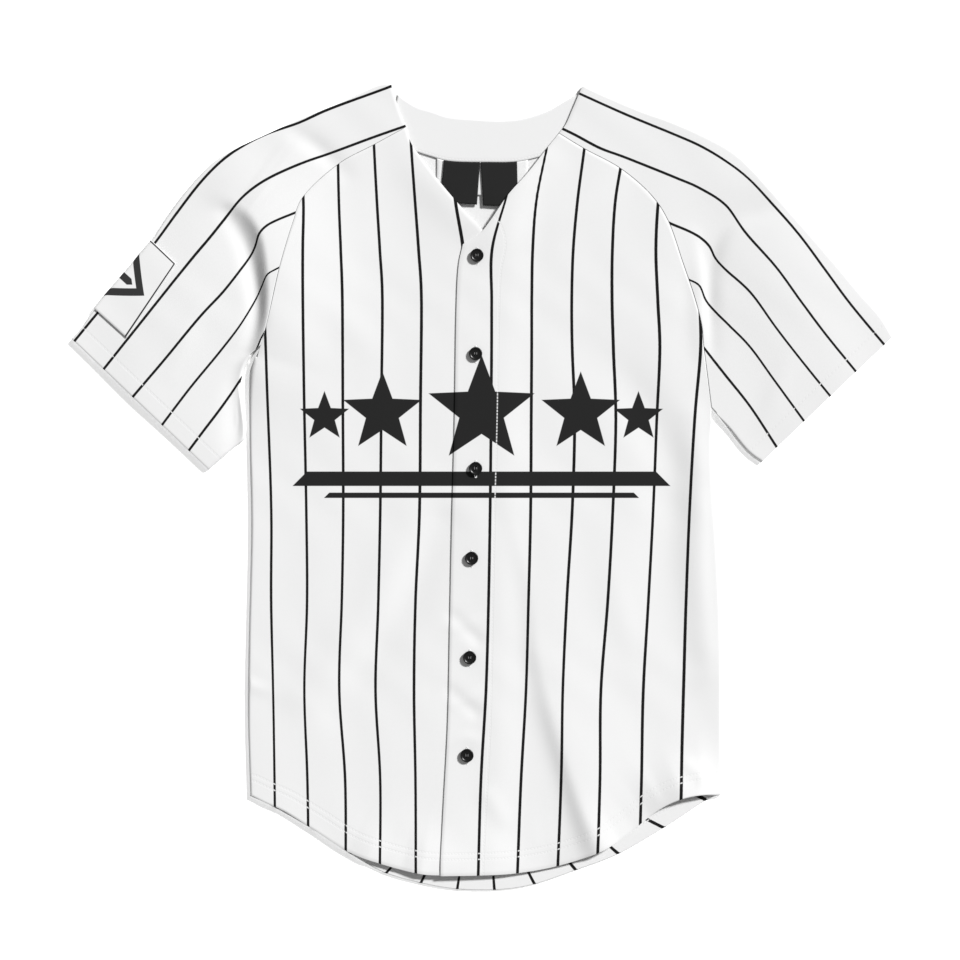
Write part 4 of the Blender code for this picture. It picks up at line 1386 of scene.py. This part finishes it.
@dataclass(frozen=True)
class ChestPrint:
    """A plain dark design across the chest: a row of stars between two bars."""

    ink: float = 0.016
    middle: tuple[float, float] = (-1.0, 70.0)
    stars: tuple[tuple[float, float, float], ...] = ((0.0, 4.0, 54.0), (96.0, 2.0, 40.0), (152.0, -2.0, 25.0))
    bars: tuple[tuple[float, float, float, float], ...] = ((-62.0, 7.0, 176.0, 0.10), (-78.0, 2.6, 150.0, 0.10))

    @staticmethod
    def star(x: Value, y: Value, radius: float) -> Value:
        """Share of a five-pointed star round the origin that covers a point."""
        distance = (x * x + y * y).math("SQRT")
        turn = x.math("ARCTAN2", y)
        sector = 2 * math.pi / 5
        folded = (turn / sector).to_whole() * sector
        across = distance * folded.math("COSINE")
        side = distance * folded.math("SINE")
        inner = radius * 0.42
        notch = (inner * math.cos(math.pi / 5), inner * math.sin(math.pi / 5))
        edge = np.array([notch[1], radius - notch[0]])
        edge /= np.linalg.norm(edge)
        off = (across - radius) * float(edge[0]) + side * float(edge[1])
        return off.fall(-0.35, 0.35)

    def over(self, graph: Graph, colour: object, x: Value, y: Value, fuzz: Value) -> bpy.types.NodeSocket:
        """Lay the design over a colour.

        Args:
            graph: the material's graph.
            colour: the cloth's colour.
            x: distance across, in millimetres.
            y: distance up, in millimetres.
            fuzz: fine noise.

        Returns:
            The colour with the design over it.
        """
        across = x - self.middle[0]
        up = y - self.middle[1]
        mirrored = abs(across)
        cover = self.star(across, up - self.stars[0][1], self.stars[0][2])
        for offset, rise, radius in self.stars[1:]:
            cover = cover.most(self.star(mirrored - offset, up - rise, radius))
        for height, half, reach, slant in self.bars:
            end = (mirrored + (up - height) * slant * 10).fall(reach - 0.35, reach + 0.35)
            cover = cover.most(abs(up - height).fall(half - 0.35, half + 0.35) * end)
        return graph.mix(cover, colour, graph.mix(fuzz, grey(self.ink * 0.85), grey(self.ink * 1.35)))


@dataclass(frozen=True)
class PatchFinish:
    """The white sleeve patch with its thin dark border and a plain device in the middle."""

    name: str = "patch_cloth"
    white: float = 0.80
    ink: float = 0.02
    border: float = 0.9
    border_inset: float = 1.2
    length: float = 88.0
    ring_reach: float = 32.0
    ring_half: float = 4.4
    cross_half: float = 3.4
    cross_reach: float = 22.6

    def build(self) -> bpy.types.Material:
        """Make the material from the place of each point on the patch."""
        graph = Graph(self.name, Roughness=0.8, Specular_IOR_Level=0.3)
        across, down, width = graph.parts(graph.attribute("edge").outputs["Vector"])
        fuzz = graph.noise(1500.0, 3.0)
        to_edge = across.least(width - across).least(down.least(self.length - down))
        line = abs(to_edge - self.border_inset).fall(self.border / 2, self.border / 2 + 0.4)
        x = across - width / 2
        y = down - self.length / 2
        diamond = abs(x) + abs(y)
        ring = abs(diamond - self.ring_reach).fall(self.ring_half, self.ring_half + 0.5)
        cross = abs(x).least(abs(y)).fall(self.cross_half, self.cross_half + 0.5)
        cross = cross * diamond.fall(self.cross_reach, self.cross_reach + 0.6)
        ink = line.most(ring).most(cross)
        colour = graph.mix(ink, grey(self.white), graph.mix(fuzz, grey(self.ink), grey(self.ink * 1.8)))
        return graph.finish(colour, 0.78 + fuzz * 0.12, fuzz, 0.00015, 0.4)


@dataclass(frozen=True)
class SatinFinish:
    """Smooth woven label tape."""

    name: str
    tone: float
    rough: float = 0.5

    def build(self) -> bpy.types.Material:
        """Make the material, with its fine ribs."""
        graph = Graph(self.name, Roughness=self.rough, Specular_IOR_Level=0.15)
        _, y, _ = graph.place()
        ribs = (y * (2 * math.pi / 0.5)).math("SINE") * 0.5 + 0.5
        fuzz = graph.noise(900.0, 3.0)
        colour = graph.mix(fuzz * 0.6 + ribs * 0.4, grey(self.tone * 0.85), grey(self.tone * 1.15))
        return graph.finish(colour, self.rough + fuzz * 0.15, ribs, 0.0001, 0.4)


@dataclass(frozen=True)
class ResinFinish:
    """Polished dark button resin with slight haze."""

    name: str = "button_gloss"
    tone: float = 0.004

    def build(self) -> bpy.types.Material:
        """Make the material."""
        graph = Graph(self.name, Specular_IOR_Level=0.3, Coat_Weight=0.1, Coat_Roughness=0.2)
        haze = graph.noise(300.0)
        scratch = graph.noise(2600.0, 4.0)
        colour = graph.mix(haze, grey(self.tone * 0.7), grey(self.tone * 1.5))
        return graph.finish(colour, 0.3 + haze * 0.14, scratch, 0.00002, 0.2)


@dataclass
class Studio:
    """The pale floor, the soft light from the upper right and the camera overhead."""

    field_width: float = 0.9312
    middle: tuple[float, float] = (-0.0025, 0.0068)
    lens: float = 85.0
    sensor: float = 36.0
    key_height: float = 33.0
    key_turn: float = 40.0
    key_spread: float = 8.0
    key_strength: float = 2.72
    fill: float = 0.24
    floor_tone: float = 0.93
    floor_glow: float = 0.5
    floor_half: float = 6.0
    floor_drop: float = 0.0003

    def floor(self) -> None:
        """Lay the floor."""
        shape = bmesh.new()
        bmesh.ops.create_grid(shape, x_segments=1, y_segments=1, size=self.floor_half)
        bmesh.ops.translate(shape, verts=shape.verts, vec=(0, 0, -self.floor_drop))
        graph = Graph("white_floor", Roughness=0.9, Specular_IOR_Level=0.1)
        graph.shader.inputs["Base Color"].default_value = grey(self.floor_tone)
        graph.shader.inputs["Emission Color"].default_value = grey(1.0)
        graph.shader.inputs["Emission Strength"].default_value = self.floor_glow
        piece = joined_piece("floor", shape, [graph.material], smooth=False)

    def light(self) -> None:
        """Hang the key light and set the even fill."""
        lamp = bpy.data.lights.new("key", "SUN")
        lamp.angle = math.radians(self.key_spread)
        lamp.energy = self.key_strength / math.sin(math.radians(self.key_height))
        key = bpy.data.objects.new("key", lamp)
        key.rotation_euler = (math.radians(90 - self.key_height), 0, math.radians(90 + self.key_turn))
        bpy.context.scene.collection.objects.link(key)
        world = bpy.data.worlds.new("studio")
        world.use_nodes = True
        world.node_tree.nodes["Background"].inputs[0].default_value = (1, 1, 1, 1)
        world.node_tree.nodes["Background"].inputs[1].default_value = self.fill
        bpy.context.scene.world = world
        bpy.context.scene.view_settings.view_transform = "Standard"

    def camera(self) -> None:
        """Set the camera overhead."""
        lens = bpy.data.cameras.new("overhead")
        lens.lens = self.lens
        lens.sensor_width = self.sensor
        camera = bpy.data.objects.new("overhead", lens)
        camera.location = (*self.middle, self.lens / self.sensor * self.field_width)
        bpy.context.scene.collection.objects.link(camera)
        bpy.context.scene.camera = camera


@dataclass(frozen=True)
class Cut:
    """The flat size a piece of cloth was cut to: width, length and area, in metres and square metres."""

    width: float
    length: float
    area: Optional[float] = None

    def declare(self, piece: bpy.types.Object, rests_on: Sequence[str],
                with_pieces: Sequence[bpy.types.Object] = ()) -> None:
        """Only run through what the piece lies on and the pieces laid with it; nothing is recorded."""
        list(rests_on)
        list(with_pieces)


@dataclass
class Jersey:
    """The whole garment."""

    made: dict[str, bpy.types.Object] = field(default_factory=dict)

    def body(self) -> None:
        """Build the back and the two fronts."""
        inside = ClothFinish("inside_cloth", striped=False, stitch_rows=()).build()
        # Painted shade: the cloth's cut edges and rolls get a darker grey than its own white, standing in for the
        # shade along the rims.
        edge = ClothFinish("edge_cloth", white=0.72, striped=False, stitch_rows=()).build()
        plain = ClothFinish("back_cloth", stitch_rows=(15.6,)).build()
        top = ClothFinish("front_cloth", printed=True, edge_row=41.0).build()
        under = ClothFinish("front_cloth_under", printed=True).build()
        self.made["back"] = Back().build([plain, inside, edge])
        for name, front, material in (
            ("front_left", Front(Side.LEFT, STRIPES_FRONT_LEFT, PLACKET, over=True), top),
            ("front_right", Front(Side.RIGHT, STRIPES_FRONT_RIGHT, UNDERLAP, over=False), under),
        ):
            cloth = ClothPiece(f"{name}_cloth", name, front.strips(), [material, inside, edge], "white_cloth")
            self.made[name] = cloth.build()

    def sleeves(self) -> None:
        """Build the sleeves and the patch on the right one."""
        # The edge material is the darker grey painted as shade along the rims.
        inside, edge = bpy.data.materials["inside_cloth"], bpy.data.materials["edge_cloth"]
        cloth = ClothFinish("sleeve_cloth", stitch_rows=(15.6,), stripe_width=2.5).build()
        for side, stripes in ((Side.LEFT, STRIPES_SLEEVE_LEFT), (Side.RIGHT, STRIPES_SLEEVE_RIGHT)):
            name = f"sleeve_{side.name.lower()}"
            sleeve = Sleeve(side, stripes)
            piece = ClothPiece(f"{name}_cloth", name, sleeve.strips(), [cloth, inside, edge], "white_cloth")
            self.made[name] = piece.build()
        patch = ClothPiece("patch_cloth", "sleeve_patch", [sleeve.patch_strip()], [PatchFinish().build()],
                           "tag_tape", 0.7)
        self.made["sleeve_patch"] = patch.build()

    def trim(self) -> None:
        """Build the band and labels inside the neck."""
        trim = NeckTrim()
        band = ClothFinish("facing_cloth", striped=False, stitch_rows=(2.0,)).build()
        black = SatinFinish("label_satin", 0.014, 0.55).build()
        white = SatinFinish("tag_tape", 0.80, 0.6).build()
        for name, strip, material, slot in (
            ("neck_facing", trim.facing(), band, "inside_cloth"),
            ("size_tag", trim.hung(*trim.size_tag, LAYERS.trim_mid, 0.0), white, "tag_tape"),
            ("neck_tab_right", trim.hung(*trim.tab_right, LAYERS.tab_mid, 0.4), black, "label_satin"),
            ("neck_tab_left", trim.hung(*trim.tab_left, LAYERS.tab_mid, 0.4), black, "label_satin"),
        ):
            piece = ClothPiece(f"{name}_cloth", name, [strip], [material], slot, LAYERS.trim_wall * 0.8)
            self.made[name] = piece.build()

    def closures(self) -> None:
        """Build the buttons, their thread and the buttonholes."""
        buttons = Buttons()
        resin = ResinFinish().build()
        thread = SatinFinish("button_thread", 0.22, 0.7).build()
        white = SatinFinish("buttonhole_thread", 0.78, 0.8).build()
        for number in range(1, len(buttons.places) + 1):
            self.made[f"button_{number}"] = buttons.disc(number, resin)
            self.made[f"thread_{number}"] = buttons.thread(number, thread)
            self.made[f"buttonhole_{number}"] = buttons.buttonhole(number, white)

    def declare(self) -> None:
        """Pair every piece of cloth with its cut and what it lies on, through Cut.declare, which records nothing.
        """
        made = self.made
        holes = [made[f"buttonhole_{number}"] for number in range(1, 7)]
        Cut(0.46, 0.78, 0.33).declare(made["back"], ["floor"])
        Cut(0.276, 0.72, 0.165).declare(made["front_left"], ["front_right", "back"], holes)
        Cut(0.243, 0.725, 0.152).declare(made["front_right"], ["back"])
        Cut(0.40, 0.46, 0.093).declare(made["sleeve_left"], ["floor"])
        Cut(0.40, 0.46, 0.093).declare(made["sleeve_right"], ["floor"])
        Cut(0.088, 0.090).declare(made["sleeve_patch"], ["sleeve_right"])
        Cut(0.175, 0.06, 0.0073).declare(made["neck_facing"], ["back"])
        Cut(0.088, 0.034).declare(made["size_tag"], ["back"])
        Cut(0.036, 0.042).declare(made["neck_tab_right"], ["size_tag"])
        Cut(0.034, 0.043).declare(made["neck_tab_left"], ["size_tag"])


def main() -> None:
    """Build the jersey and the studio round it."""
    logging.basicConfig(level=logging.INFO, format="%(name)s: %(message)s")
    jersey = Jersey()
    for step in (jersey.body, jersey.sleeves, jersey.trim, jersey.closures, jersey.declare):
        step()
        LOG.info("%s done", step.__name__)
    studio = Studio()
    studio.floor()
    studio.light()
    studio.camera()


if __name__ == "__main__":
    main()
